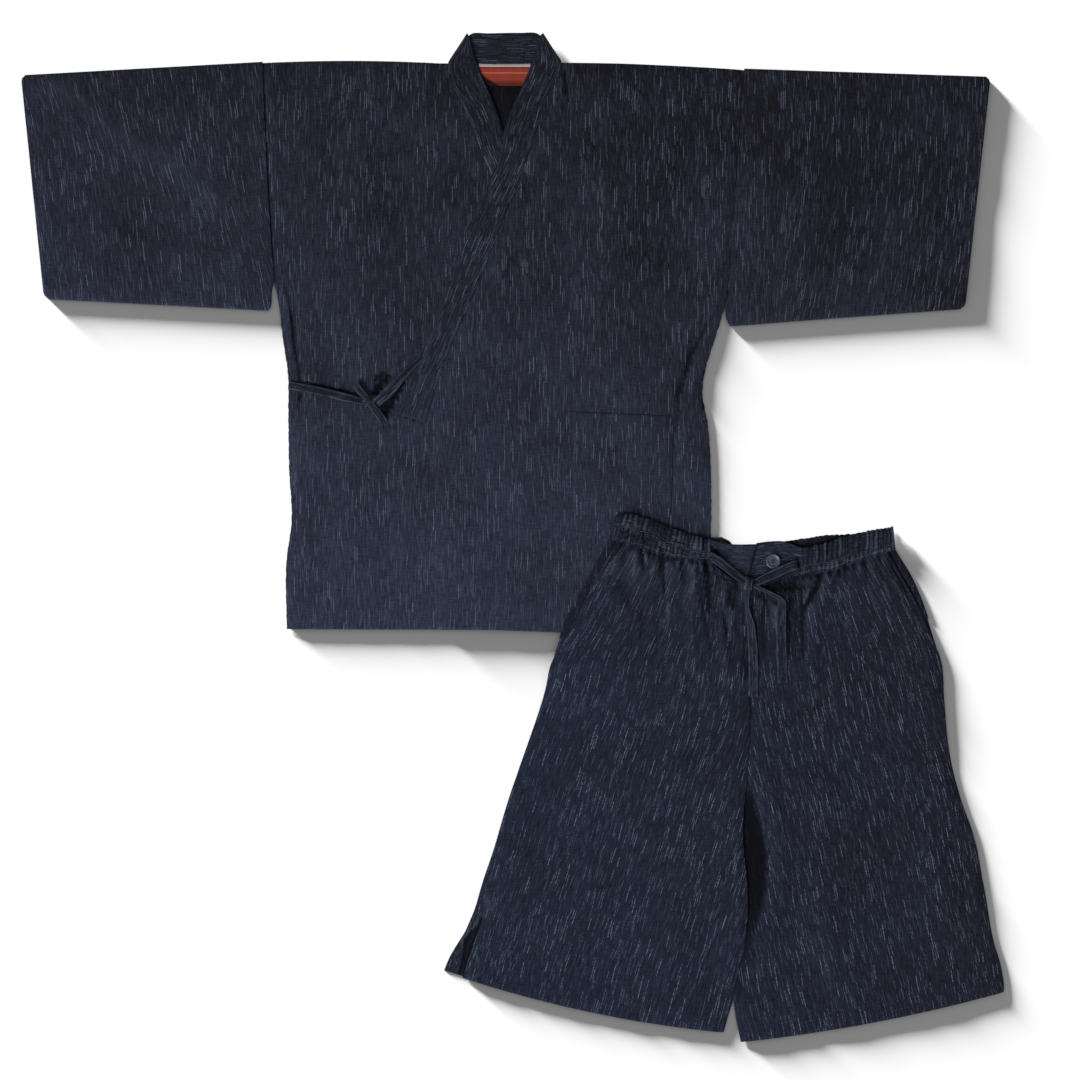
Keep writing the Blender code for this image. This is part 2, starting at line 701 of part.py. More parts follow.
def build_jacket(cloth, band, inside, label, strip, collection):
    place = origin_of("jacket", NAPE, collection)

    def right_front(x, y, across):
        shown = 1.0 - ease(*UNDER_COLLAR, x + UNDER_COLLAR_LEAN * (y - SIDE_TIE[0].y))
        return LAYER + rise_of(JACKET_FOLDS, x, y) * seam_hold(across) * shown

    def left_front(x, y, across):
        free = ease(*UNDER_SHORTS, y)
        return left_front_base(x) + rise_of(JACKET_FOLDS, x, y) * seam_hold(across) * free

    def collar_right(x, y, across):
        return collar_right_base(y)

    def collar_left(x, y, across):
        return left_front_base(x)

    def on_back(x, y, across):
        return LAYER

    def on_left_front(x, y, across):
        ridge = rise_of(JACKET_FOLDS, x, y) * ease(*UNDER_SHORTS, y)
        return left_front_base(x) + LAYER + POCKET_CLEARANCE + ridge

    def flat(x, y, across):
        return 0.0

    panel("jacket_back", BACK, 2, FLAT_CELL, flat, place, inside, collection)
    for name, sections, under in (
        ("jacket_front_right", FRONT_RIGHT, right_front),
        ("jacket_front_left", FRONT_LEFT, left_front),
    ):
        panel(name, sections, BODY_COLUMNS, CLOTH_CELL, under, place, cloth, collection)
    sleeve("sleeve_right", SLEEVE_RIGHT, ARMHOLE_RIGHT, SLEEVE_FOLDS, place, cloth, collection)
    sleeve("sleeve_left", SLEEVE_LEFT, ARMHOLE_LEFT, SLEEVE_FOLDS, place, cloth, collection)
    for name, sections, columns, under in (
        ("collar_back", COLLAR_BACK, 1, flat),
        ("collar_right", COLLAR_RIGHT, 2, collar_right),
        ("collar_left", COLLAR_LEFT, 2, collar_left),
    ):
        panel(name, sections, columns, COLLAR_CELL, under, place, band, collection, BAND_WALL)
    panel("patch_pocket", PATCH_POCKET, 5, CLOTH_CELL, on_left_front, place, cloth, collection)
    panel("neck_label", NECK_LABEL, 3, TRIM_CELL, on_back, place, label, collection, LABEL_WALL)
    panel("label_strip", LABEL_STRIP, 2, TRIM_CELL, on_back, place, strip, collection, LABEL_WALL)

    def on_right_front(x, y):
        return LAYER + WALL + rise_of(JACKET_FOLDS, x, y)

    strap("side_tie", SIDE_TIE, on_right_front, place, band, collection)
    strap("collar_tie", COLLAR_TIE, on_right_front, place, band, collection)
    strap("tie_ends", TIE_ENDS, on_right_front, place, band, collection)
    knot("tie_knot", TIE_KNOT, on_right_front, place, band, collection)


def build_shorts(cloth, band, inside, button_finish, collection, cutters):
    place = origin_of("shorts", WAIST, collection)

    def back(x, y, across):
        return shorts_base(x, y)

    def front_right(x, y, across):
        over = rise_of([LEG_OVER_LEG], x, y) * ease(*LEG_OVER_SHARE, across)
        return shorts_front_under(x, y, across) + over

    def over_back(x, y, across):
        return shorts_base(x, y) + LAYER

    def front_band(x, y, across):
        gathered = max(1.0 - ease(*GATHER_RIGHT, x), ease(*GATHER_LEFT, x))
        ridge = abs(math.sin(math.pi * x / GATHER_STEP))
        return waistband_under(x, y) + gathered * GATHER_RISE * ridge

    for name, sections, under in (
        ("shorts_back_right", SHORTS_BACK_RIGHT, back),
        ("shorts_back_left", SHORTS_BACK_LEFT, back),
        ("shorts_front_right", SHORTS_FRONT_RIGHT, front_right),
        ("shorts_front_left", SHORTS_FRONT_LEFT, shorts_front_under),
    ):
        panel(name, sections, LEG_COLUMNS, LEG_CELL, under, place, cloth, collection)
    for name, sections in (
        ("pocket_side_right", POCKET_SIDE_RIGHT),
        ("pocket_side_left", POCKET_SIDE_LEFT),
    ):
        panel(name, sections, 1, TRIM_CELL, over_back, place, cloth, collection)
    panel("waistband_back", WAISTBAND_BACK, 2, BACK_BAND_CELL, over_back, place, inside, collection)
    for name, sections in (
        ("waistband_right", WAISTBAND_RIGHT),
        ("waistband_left", WAISTBAND_LEFT),
    ):
        panel(name, sections, 2, GATHER_STEP / 2.0, front_band, place, band, collection)
    x, y = BUTTON_PLACE
    highest = max(waistband_under(x + side, y) for side in (-BUTTON_RADIUS, BUTTON_RADIUS))
    base = highest + WALL + 2.0 * SEAM_GAP
    button("button", base, place, button_finish, collection, cutters)

    def on_waistband(x, y):
        return waistband_under(x, y) + WALL

    def on_shorts_front(x, y):
        return shorts_front_base(x, y) + WALL + rise_of(SHORTS_FOLDS, x, y)

    loops("drawstring_loops", on_waistband, place, band, collection)
    knot("drawstring_knot", DRAWSTRING_KNOT, on_waistband, place, band, collection)
    strap("drawstring_end_right", END_RIGHT, on_shorts_front, place, band, collection, WALL)
    strap("drawstring_end_left", END_LEFT, on_shorts_front, place, band, collection, WALL)


def main():
    clear_scene()
    jinbei = collection_of("jinbei_set")
    cutters = collection_of("cutters", hidden=True)
    cloth = material("navy_cotton", NAVY, 0.9)
    band = material("navy_band", NAVY_BAND, 0.9)
    inside = material("navy_inside", NAVY_INSIDE, 0.95)
    label = material("orange_label", ORANGE, 0.6)
    strip = material("white_tape", WHITE, 0.8)
    button_finish = material("navy_button", BUTTON_BLUE, 0.35)
    build_jacket(cloth, band, inside, label, strip, jinbei)
    build_shorts(cloth, band, inside, button_finish, jinbei, cutters)


main()
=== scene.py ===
import math
from functools import partial

import bpy
import bmesh
import numpy as np
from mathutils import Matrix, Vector


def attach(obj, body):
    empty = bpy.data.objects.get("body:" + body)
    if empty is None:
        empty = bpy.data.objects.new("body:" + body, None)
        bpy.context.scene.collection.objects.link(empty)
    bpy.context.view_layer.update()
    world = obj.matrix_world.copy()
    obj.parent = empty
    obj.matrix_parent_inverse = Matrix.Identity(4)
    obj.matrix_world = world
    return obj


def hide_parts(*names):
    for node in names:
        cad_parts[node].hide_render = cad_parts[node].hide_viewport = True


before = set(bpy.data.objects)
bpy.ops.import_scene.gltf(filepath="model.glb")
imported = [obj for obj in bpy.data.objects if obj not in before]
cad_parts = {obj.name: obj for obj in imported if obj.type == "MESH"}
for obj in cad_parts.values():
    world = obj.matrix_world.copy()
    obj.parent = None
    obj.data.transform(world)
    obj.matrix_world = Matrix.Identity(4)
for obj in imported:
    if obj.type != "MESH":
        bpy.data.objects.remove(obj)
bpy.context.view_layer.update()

mm = 0.001
nape = (-11.75, 593)  # the jacket's sizes start here, in mm
waist = (298.25, -9.5)  # the shorts' sizes start here
layer = 1.3  # from one layer to the next
face = 0.95  # from a layer's underside to its upper face
threads = {}  # runs of stitches, by the object they are joined into


# sums used by every piece


def ease(low, high, value):
    share = np.clip((np.asarray(value, float) - low) / (high - low), 0, 1)
    return share * share * (3 - 2 * share)


def ripple(x, y, wave, seed, waves=9):
    # even wrinkles in every direction, from -1 to 1, about one wave long
    dice = np.random.default_rng(seed)
    total = np.zeros(np.broadcast(x, y).shape)
    for _ in range(waves):
        turn = dice.uniform(0, math.tau)
        pace = math.tau / (wave * dice.uniform(0.7, 1.5))
        total += np.sin((x * math.cos(turn) + y * math.sin(turn)) * pace + dice.uniform(0, math.tau))
    return np.tanh(total / math.sqrt(waves) * 0.9)


def besideLine(fromX, fromY, toX, toY, x, y):
    # how far along a line and off it each spot lies, and the line's length
    reach = math.hypot(toX - fromX, toY - fromY)
    runX, runY = (toX - fromX) / reach, (toY - fromY) / reach
    return (x - fromX) * runX + (y - fromY) * runY, (y - fromY) * runX - (x - fromX) * runY, reach


def creaseRise(lines, x, y):
    # lines: fromX, fromY, toX, toY, bend, width, rise
    total = np.zeros(np.broadcast(x, y).shape)
    for *line, bend, width, rise in lines:
        along, off, reach = besideLine(*line, x, y)
        along = along / reach
        bell = np.exp(-np.abs((off - bend * 4 * along * (1 - along)) / width) ** 1.7)
        total += rise * ease(-0.05, 0.3, along) * ease(-0.05, 0.35, 1 - along) * bell
    return total


def pressed(lines, x, y):
    # how deep each spot lies in short folds: fromX, fromY, toX, toY, half width, depth from 0 to 1
    deep = np.zeros(np.broadcast(x, y).shape)
    for *line, half, depth in lines:
        along, off, reach = besideLine(*line, x, y)
        off = off + 0.3 * half * np.sin(along * 0.7 + line[0])
        past = np.maximum(0, np.maximum(-along, along - reach))
        wide = half * (0.6 + 0.4 * np.sin(math.pi * np.clip(along / reach, 0, 1)))
        deep = np.maximum(deep, depth * np.exp(-((np.hypot(off, past) / wide) ** 2.8)))
    return deep


def strongest(*folds):
    # the deepest painted shade of some folds, or the palest painted highlight where there is none
    deepest, palest = np.maximum.reduce(folds), np.minimum.reduce(folds)
    return np.where(deepest > 0.12, deepest, np.where(palest < 0, palest * (1 - deepest / 0.12), deepest))


def smoothThrough(knots, values, at):
    # a curve through the rows of a table
    steps = np.diff(knots)[:, None]
    slopes = np.diff(values, axis=0) / steps
    inner = (slopes[:-1] * steps[1:] + slopes[1:] * steps[:-1]) / (steps[:-1] + steps[1:])
    bends = np.concatenate([slopes[:1], inner, slopes[-1:]])
    spot = np.clip(np.searchsorted(knots, at, side="right") - 1, 0, len(knots) - 2)
    step = steps[spot]
    t = (at - knots[spot])[:, None] / step
    return (
        values[spot] * (2 * t**3 - 3 * t**2 + 1)
        + bends[spot] * step * (t**3 - 2 * t**2 + t)
        + values[spot + 1] * (3 * t**2 - 2 * t**3)
        + bends[spot + 1] * step * (t**3 - t**2)
    )


def spread(reach, cell, marks=(), fine=()):
    # shares of a length: even steps, closer at both edges, beside marks and in finer stretches (from, to, step)
    even = np.linspace(0, reach, max(2, round(reach / cell)) + 1)
    for low, high, step in fine:
        outside = even[(even < low - 0.4 * step) | (even > high + 0.4 * step)]
        even = np.sort(np.concatenate([outside, np.linspace(low, high, round((high - low) / step) + 1)]))
    edges = [0, 0.5, 1.3, 2.6, reach - 2.6, reach - 1.3, reach - 0.5, reach]
    for mark in marks:
        edges += [mark - 1.6, mark - 0.7, mark, mark + 0.7, mark + 1.6]
    even = even[np.abs(even[:, None] - np.array(edges)).min(axis=1) > min(0.45 * cell, 0.7)]
    return np.unique(np.round(np.clip(np.concatenate([even, edges]), 0, reach), 4)) / reach


def netOf(rows):
    # rows: fromX, fromY, toX, toY, and the bow of the line between them
    table = np.array([tuple(row) + (0.0,) * (5 - len(row)) for row in rows])
    sides = (np.hypot(*np.diff(table[:, :2], axis=0).T) + np.hypot(*np.diff(table[:, 2:4], axis=0).T)) / 2
    knots = np.concatenate([[0], np.cumsum(sides)])
    widths = np.hypot(table[:, 2] - table[:, 0], table[:, 3] - table[:, 1])
    return {"knots": knots, "table": table, "run": knots[-1], "width": widths.max()}


def spotsOn(net, across, run):
    # x and y at shares across and lengths along a net
    fromX, fromY, toX, toY, bow = smoothThrough(net["knots"], net["table"], run).T
    return fromX + (toX - fromX) * across, fromY + (toY - fromY) * across + bow * 4 * across * (1 - across)


# making pieces


def newPiece(name, mesh, material):
    mesh.materials.append(material)
    piece = bpy.data.objects.new(name, mesh)
    bpy.context.scene.collection.objects.link(piece)
    return piece


def mendMesh(mesh, fill=False):
    # turns its faces outwards, and fills open ends
    mender = bmesh.new()
    mender.from_mesh(mesh)
    if fill:
        bmesh.ops.holes_fill(mender, edges=[edge for edge in mender.edges if edge.is_boundary], sides=0)
    bmesh.ops.recalc_face_normals(mender, faces=mender.faces)
    mender.to_mesh(mesh)
    mender.free()
    mesh.shade_smooth()


def gridFaces(rows, wide, left, right, flip):
    top = np.arange(rows - 1)[:, None] * wide
    faces = np.stack([top + left, top + wide + left, top + wide + right, top + right], axis=-1).reshape(-1, 4)
    return faces[:, ::-1] if flip else faces


def makeMesh(name, x, y, z, u, v, origin, material, closed=False, flip=False):
    # a grid of points, rows by columns. closed joins the last column to the first
    rows, columns = x.shape
    points = np.stack([(x + origin[0]) * mm, (y + origin[1]) * mm, z * mm], axis=-1).reshape(-1, 3)
    left = np.arange(columns if closed else columns - 1)
    mesh = bpy.data.meshes.new(name)
    mesh.from_pydata(points, [], gridFaces(rows, columns, left, (left + 1) % columns, flip).tolist())
    if closed:
        u = np.concatenate([u, u[:, -1:] + (u[:, -1:] - u[:, -2:-1])], axis=1)
        v = np.concatenate([v, v[:, :1]], axis=1)
    # the cloth's own measure in metres: across its threads, then along them
    corners = gridFaces(rows, u.shape[1], left, left + 1, flip).reshape(-1)
    flat = np.stack([u.reshape(-1)[corners], v.reshape(-1)[corners]], axis=-1)
    mesh.uv_layers.new(name="grain").data.foreach_set("uv", (flat * mm).astype(np.float32).reshape(-1))
    mesh.shade_smooth()
    return newPiece(name, mesh, material)


def thicken(piece, thickness, under=None):
    # under: the finish of its other side
    shell = piece.modifiers.new("cloth", "SOLIDIFY")
    if under:
        piece.data.materials.append(under)
        shell.material_offset = 1
    shell.thickness = thickness * mm
    shell.offset = -1
    shell.use_even_offset = False


def paintShading(piece, depth):
    # painted shade where the cloth lies deep in a fold, up to 1, and painted highlight on a ridge, down to -1
    held = piece.data.attributes.new("fold", "FLOAT", "POINT")
    held.data.foreach_set("value", np.clip(depth, -1, 1).astype(np.float32).reshape(-1))


def enrol(piece, node):
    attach(piece, "root")
    if node:
        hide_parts(node)


def placeOn(net, across, run):
    # the upper face of a panel at shares across and lengths along
    x, y = (spots.reshape(across.shape) for spots in spotsOn(net, across.reshape(-1), run.reshape(-1)))
    asideX, asideY = net["shift"](x, y, across, run)
    return x + asideX, y + asideY, net["height"](x, y, across, run)


def unmoved(x, y, across, run):
    return 0, 0


def asLaid(x, y, across, run):
    return x, y


cloth = {
    "cell": 5,  # mm from point to point
    "thickness": 0.8,
    "edgeRoll": 0.45,  # mm that its edges roll down
    "rollReach": 2.4,
}


def layPanel(name, rows, height, origin, material, cell=cloth["cell"], runCell=None, fine=((), ()), hem=(),
             thickness=cloth["thickness"], grain=asLaid, shift=unmoved, fold=None, under=None):
    # height gives the upper face at x, y, share across and length along
    net = dict(netOf(rows), height=height, shift=shift)
    acrossShares = spread(net["width"], cell, (), fine[0])
    runShares = spread(net["run"], runCell or cell, hem, fine[1])
    across, run = np.meshgrid(acrossShares, runShares * net["run"])
    x, y, z = placeOn(net, across, run)
    edge = np.minimum(np.minimum(across, 1 - across) * net["width"], np.minimum(run, net["run"] - run))
    z = z - cloth["edgeRoll"] * (1 - ease(0, cloth["rollReach"], edge))
    net["piece"] = makeMesh(name, x, y, z, *grain(x, y, across, run), origin, material)
    if fold:
        paintShading(net["piece"], fold(x, y, across, run))
    thicken(net["piece"], thickness, under)
    return net


def sewOn(net, across, run, into, origin, pitch=3.4, length=2.5, width=0.5, lift=0.12, wander=0.12, seed=3):
    # a run of stitches along shares across and lengths along a panel
    across, run = np.broadcast_arrays(np.asarray(across, float), np.asarray(run, float))
    x, y, _ = placeOn(net, across, run)
    lengths = np.concatenate([[0], np.cumsum(np.hypot(np.diff(x), np.diff(y)))])
    places = np.arange(pitch / 2, lengths[-1], pitch)
    dice = np.random.default_rng(seed)
    ends = []
    for shift in (-0.5, 0.5):
        at = np.clip(places + shift * length + dice.uniform(-wander, wander, len(places)), 0, lengths[-1])
        x, y, z = placeOn(net, np.interp(at, lengths, across), np.interp(at, lengths, run))
        ends.append(np.stack([x + origin[0], y + origin[1], z + lift], axis=-1))
    threads.setdefault(into, []).append((*ends, width))


def joinStitches(name, material):
    # each stitch is a plump spindle of eight faces
    allPoints, allFaces, start = [], [], 0
    for first, last, width in threads.pop(name):
        run = last - first
        reach = np.linalg.norm(run, axis=1, keepdims=True)
        side = np.stack([-run[:, 1], run[:, 0], np.zeros(len(run))], axis=-1) / np.maximum(reach, 1e-6)
        middle = (first + last) / 2
        up = np.array([0, 0, 1])
        aside, above, below = side * width / 2, up * width * 0.45, up * width * 0.3
        ring = (middle + aside, middle + above, middle - aside, middle - below)
        allPoints.append(np.stack([first - up * 0.1, last - up * 0.1, *ring], axis=1).reshape(-1, 3))
        base = start + np.arange(len(run))[:, None] * 6
        for a, b in ((2, 3), (3, 4), (4, 5), (5, 2)):
            allFaces.append(np.concatenate([base, base + a, base + b], axis=1))
            allFaces.append(np.concatenate([base + 1, base + b, base + a], axis=1))
        start += len(run) * 6
    mesh = bpy.data.meshes.new(name)
    mesh.from_pydata(np.concatenate(allPoints) * mm, [], np.concatenate(allFaces).tolist())
    mesh.validate()
    mendMesh(mesh)
    return newPiece(name, mesh, material)


strap = {
    "piping": 0.2,  # how high its edges stand over its middle
    "thickness": 1.3,
    "wobble": 0.12,
    "shares": (-1, -0.93, -0.78, -0.6, -0.25, 0.25, 0.6, 0.78, 0.93, 1, 0.9, 0.3, -0.3, -0.9),  # round its section
    "tops": (0.5, 0.82, 1, 0.74, 0.68, 0.68, 0.74, 1, 0.82, 0.5, 0.05, 0, 0, 0.05),
}


def ribbon(name, stops, origin, under=None, thickness=strap["thickness"], step=2, seed=1):
    # a folded strap along stops: x, y, height over what it lies on, width, roll in degrees
    table = np.array(stops, float)
    if under:
        table[:, 2] += under(table[:, 0], table[:, 1])
    reach = np.linalg.norm(np.diff(table[:, :3], axis=0), axis=1)
    knots = np.concatenate([[0], np.cumsum(np.maximum(reach, 0.01))])
    at = np.linspace(0, knots[-1], max(8, round(knots[-1] / step)) + 1)
    line = smoothThrough(knots, table, at)
    spine, width, roll = line[:, None, :3], line[:, 3, None, None], np.radians(line[:, 4])
    ahead = np.gradient(line[:, :3], axis=0)
    ahead /= np.linalg.norm(ahead, axis=1, keepdims=True)
    side = np.cross([0, 0, 1], ahead[0])
    side /= np.linalg.norm(side)
    sides = []
    for tangent in ahead:
        side = side - tangent * side.dot(tangent)
        side = side / np.linalg.norm(side)
        sides.append(side)
    sides = np.array(sides)
    ups = np.cross(ahead, sides)
    cosine, sine = np.cos(roll)[:, None], np.sin(roll)[:, None]
    sides, ups = (sides * cosine + ups * sine)[:, None], (ups * cosine - sides * sine)[:, None]
    shares, tops = np.array(strap["shares"]), np.array(strap["tops"])
    tops = np.where(tops > 0.6, 1 + (tops - 1) * strap["piping"] / 0.35, tops) * thickness
    wobble = strap["wobble"] * thickness * ripple(at[:, None], shares * 9, 9, seed)
    points = spine + sides * width / 2 * shares[:, None] + ups * tops[:, None] + ups * wobble[:, :, None]
    around = np.cumsum(np.abs(np.diff(shares, prepend=shares[0]))) * 6
    u = np.broadcast_to(around + seed * 37, wobble.shape)
    v = np.broadcast_to(at[:, None] + seed * 53, wobble.shape)
    piece = makeMesh(name, *np.moveaxis(points, -1, 0), u, v, origin, kasuriStrap, closed=True, flip=True)
    # painted highlight along its folded edges, and painted shade on its underside
    paintedLight = np.interp(np.abs(shares), (0, 0.45, 0.7, 0.8, 0.93, 1), (0.08, 0, -0.2, -0.7, -0.4, 0.25))
    paintedLight = np.where(tops < 0.1 * thickness, 0.3, paintedLight)
    paintShading(piece, paintedLight * (0.75 + 0.5 * ripple(at[:, None], shares * 20, 11, seed + 4)))
    mendMesh(piece.data, fill=True)
    return piece


def archOver(name, middle, turn, span, rise, width, origin, seed, lean):
    # a strap drawn over what it ties, from one side to the other
    aheadX, aheadY = math.cos(math.radians(turn)), math.sin(math.radians(turn))
    stops = []
    for share, lift in ((-0.5, 0), (-0.47, 0.42), (-0.3, 0.84), (0, 1), (0.3, 0.84), (0.47, 0.42), (0.5, 0)):
        x, y, z = middle[0] + aheadX * share * span, middle[1] + aheadY * share * span, middle[2] + lift * rise
        stops.append((x, y, z, width * (1 - 0.2 * (1 - abs(share) * 2)), lean * share))
    return ribbon(name, stops, origin, thickness=1.1, step=1, seed=seed)


# finishes


def newGroup(name, inputs, outputs):
    tree = bpy.data.node_groups.new(name, "ShaderNodeTree")
    for label, kind, value in inputs:
        socket = tree.interface.new_socket(name=label, in_out="INPUT", socket_type="NodeSocket" + kind)
        if value is not None:
            socket.default_value = value
    for label, kind in outputs:
        tree.interface.new_socket(name=label, in_out="OUTPUT", socket_type="NodeSocket" + kind)
    return tree, tree.nodes.new("NodeGroupInput").outputs, tree.nodes.new("NodeGroupOutput").inputs


def feedInto(tree, feed, socket):
    if isinstance(feed, bpy.types.NodeSocket):
        tree.links.new(feed, socket)
    elif feed is not None:
        socket.default_value = feed


def put(tree, kind, *feeds, out=0, **settings):
    # feeds go to the node's inputs in order, and None leaves one as it is
    node = tree.nodes.new("ShaderNode" + kind)
    for key, value in settings.items():
        setattr(node, key, value)
    for socket, feed in zip(node.inputs, feeds):
        feedInto(tree, feed, socket)
    return node.outputs[out]


def putSum(tree, operation, *feeds, clamp=False):
    return put(tree, "Math", *feeds, operation=operation, use_clamp=clamp)


def rampUp(tree, value, low, high):
    # 0 below low, 1 above high
    return put(tree, "MapRange", value, low, high, 0, 1, interpolation_type="SMOOTHSTEP")


def mixTones(tree, share, first, second, blend="MIX"):
    node = tree.nodes.new("ShaderNodeMix")
    node.data_type = "RGBA"
    node.blend_type = blend
    for number, feed in ((0, share), (6, first), (7, second)):
        feedInto(tree, feed, node.inputs[number])
    return node.outputs[2]


def place(tree, group, **feeds):
    node = tree.nodes.new("ShaderNodeGroup")
    node.node_tree = group
    for label, feed in feeds.items():
        feedInto(tree, feed, node.inputs[label])
    return node.outputs


def addBump(tree, shader, height, strength, distance):
    bump = put(tree, "Bump", strength, distance)
    feedInto(tree, height, bump.node.inputs["Height"])
    feedInto(tree, bump, shader.inputs["Normal"])


def makeKasuriDashes():
    # short pale stretches of warp yarn, each column of yarn with its own luck
    inputs = [("Grain", "Vector", None)]
    inputs += [
        (label, "Float", value)
        for label, value in (
            ("Pitch", 2.4), ("Cell", 42), ("Share", 0.4), ("Width", 0.8), ("Faintest", 0.2),
            ("Broken", 0.35), ("Speckle", 0.6), ("Seed", 1),
        )
    ]
    tree, given, out = newGroup("kasuriDashes", inputs, (("Mask", "Float"),))
    node, sums, ramp = partial(put, tree), partial(putSum, tree), partial(rampUp, tree)
    inMm = node("VectorMath", given["Grain"], (1000, 1000, 1000), operation="MULTIPLY")
    u, v, _ = node("SeparateXYZ", inMm).node.outputs
    drift = node("TexNoise", None, sums("ADD", sums("MULTIPLY", v, 0.03), given["Seed"]), 1, 0, noise_dimensions="1D")
    u = sums("ADD", u, sums("MULTIPLY", drift, 2.2))
    line = sums("ADD", sums("DIVIDE", u, given["Pitch"]), given["Seed"])
    column = sums("FLOOR", line)
    luck = node("TexWhiteNoise", None, column, out="Color", noise_dimensions="1D")
    run = sums("ADD", sums("DIVIDE", v, given["Cell"]), sums("MULTIPLY", node("SeparateColor", luck), 977))
    spot = node("CombineXYZ", column, sums("FLOOR", run), given["Seed"])
    dash = node("TexWhiteNoise", spot).node.outputs
    startLuck, endLuck, paleLuck = node("SeparateColor", dash["Color"]).node.outputs
    along = sums("FRACT", run)
    opening = ramp(sums("SUBTRACT", along, sums("MULTIPLY", startLuck, 0.45)), 0, 0.09)
    end = sums("SUBTRACT", 1, sums("MULTIPLY", endLuck, 0.4))
    closing = ramp(sums("SUBTRACT", end, along), 0, 0.13)
    half = sums("DIVIDE", given["Width"], sums("MULTIPLY", given["Pitch"], 2))
    aside = sums("ABSOLUTE", sums("SUBTRACT", sums("FRACT", line), 0.5))
    thread = sums("SUBTRACT", 1, ramp(sums("SUBTRACT", aside, half), -0.08, 0.1))
    strength = node("MapRange", sums("POWER", paleLuck, 1.5), 0, 1, given["Faintest"], 1)
    speckle = node("TexNoise", inMm, None, given["Speckle"], 1)
    breaks = sums("SUBTRACT", 1, sums("MULTIPLY", ramp(speckle, 0.42, 0.6), given["Broken"]))
    mask = sums("LESS_THAN", dash["Value"], given["Share"])
    for more in (opening, closing, thread, strength, breaks):
        mask = sums("MULTIPLY", mask, more)
    tree.links.new(mask, out["Mask"])
    return tree


def makeCottonWeave():
    # plain weave with slubs
    inputs = (("Grain", "Vector", None), ("Yarn", "Float", 0.6), ("Slub", "Float", 0.6))
    tree, given, out = newGroup("cottonWeave", inputs, (("Height", "Float"), ("Slubs", "Float")))
    node, sums = partial(put, tree), partial(putSum, tree)
    perYarn = sums("DIVIDE", 1000 * math.tau, given["Yarn"])
    inYarns = node("VectorMath", given["Grain"], None, None, perYarn, operation="SCALE")
    weft, warp, _ = node("SeparateXYZ", inYarns).node.outputs
    over = sums("MULTIPLY", sums("COSINE", weft), sums("COSINE", warp))
    long, wide = (
        node("TexNoise", node("VectorMath", given["Grain"], stretch, operation="MULTIPLY"), None, 1, 1)
        for stretch in ((900, 60, 1), (70, 800, 1))
    )
    slubs = sums("ADD", sums("MULTIPLY", long, 0.6), sums("MULTIPLY", wide, 0.4))
    height = sums("ADD", sums("MULTIPLY", over, 0.25), sums("MULTIPLY", slubs, given["Slub"]))
    tree.links.new(height, out["Height"])
    tree.links.new(slubs, out["Slubs"])
    return tree


def makeWearAndPaintedLight():
    # washed patches of wear, from bluer to greyer, over painted light that darkens the whole piece towards one side
    inputs = [("Fresh", "Color", None), ("Faded", "Color", None)]
    slope = (("Across", 0.35), ("Up", 1), ("From", -0.1), ("To", 0.6), ("Patch", 7), ("Amount", 0.3))
    inputs += [(label, "Float", value) for label, value in slope]
    tree, given, out = newGroup("wearAndPaintedLight", inputs, (("Tone", "Color"),))
    node, sums = partial(put, tree), partial(putSum, tree)
    where = node("TexCoord", out=3)
    x, y, _ = node("SeparateXYZ", where).node.outputs
    # painted light: a slope from the paler tone to the darker one across the piece
    slope = sums("ADD", sums("MULTIPLY", x, given["Across"]), sums("MULTIPLY", y, given["Up"]))
    slow = node("MapRange", slope, given["From"], given["To"], 0, 1)
    patches = node("TexNoise", where, None, given["Patch"], 3, 0.6)
    swing = sums("MULTIPLY", sums("SUBTRACT", patches, 0.5), sums("MULTIPLY", given["Amount"], 4))
    share = sums("ADD", slow, swing, clamp=True)
    tree.links.new(mixTones(tree, share, given["Faded"], given["Fresh"]), out["Tone"])
    return tree


kasuriDashes = makeKasuriDashes()
cottonWeave = makeCottonWeave()
wearAndPaintedLight = makeWearAndPaintedLight()


def newMaterial(name, roughness, sheen=0, specular=0.06):
    made = bpy.data.materials.new(name)
    made.use_nodes = True
    shader = made.node_tree.nodes["Principled BSDF"]
    shader.inputs["Roughness"].default_value = roughness
    shader.inputs["Specular IOR Level"].default_value = specular
    shader.inputs["Sheen Weight"].default_value = sheen
    shader.inputs["Sheen Roughness"].default_value = 0.5
    return made, made.node_tree, shader


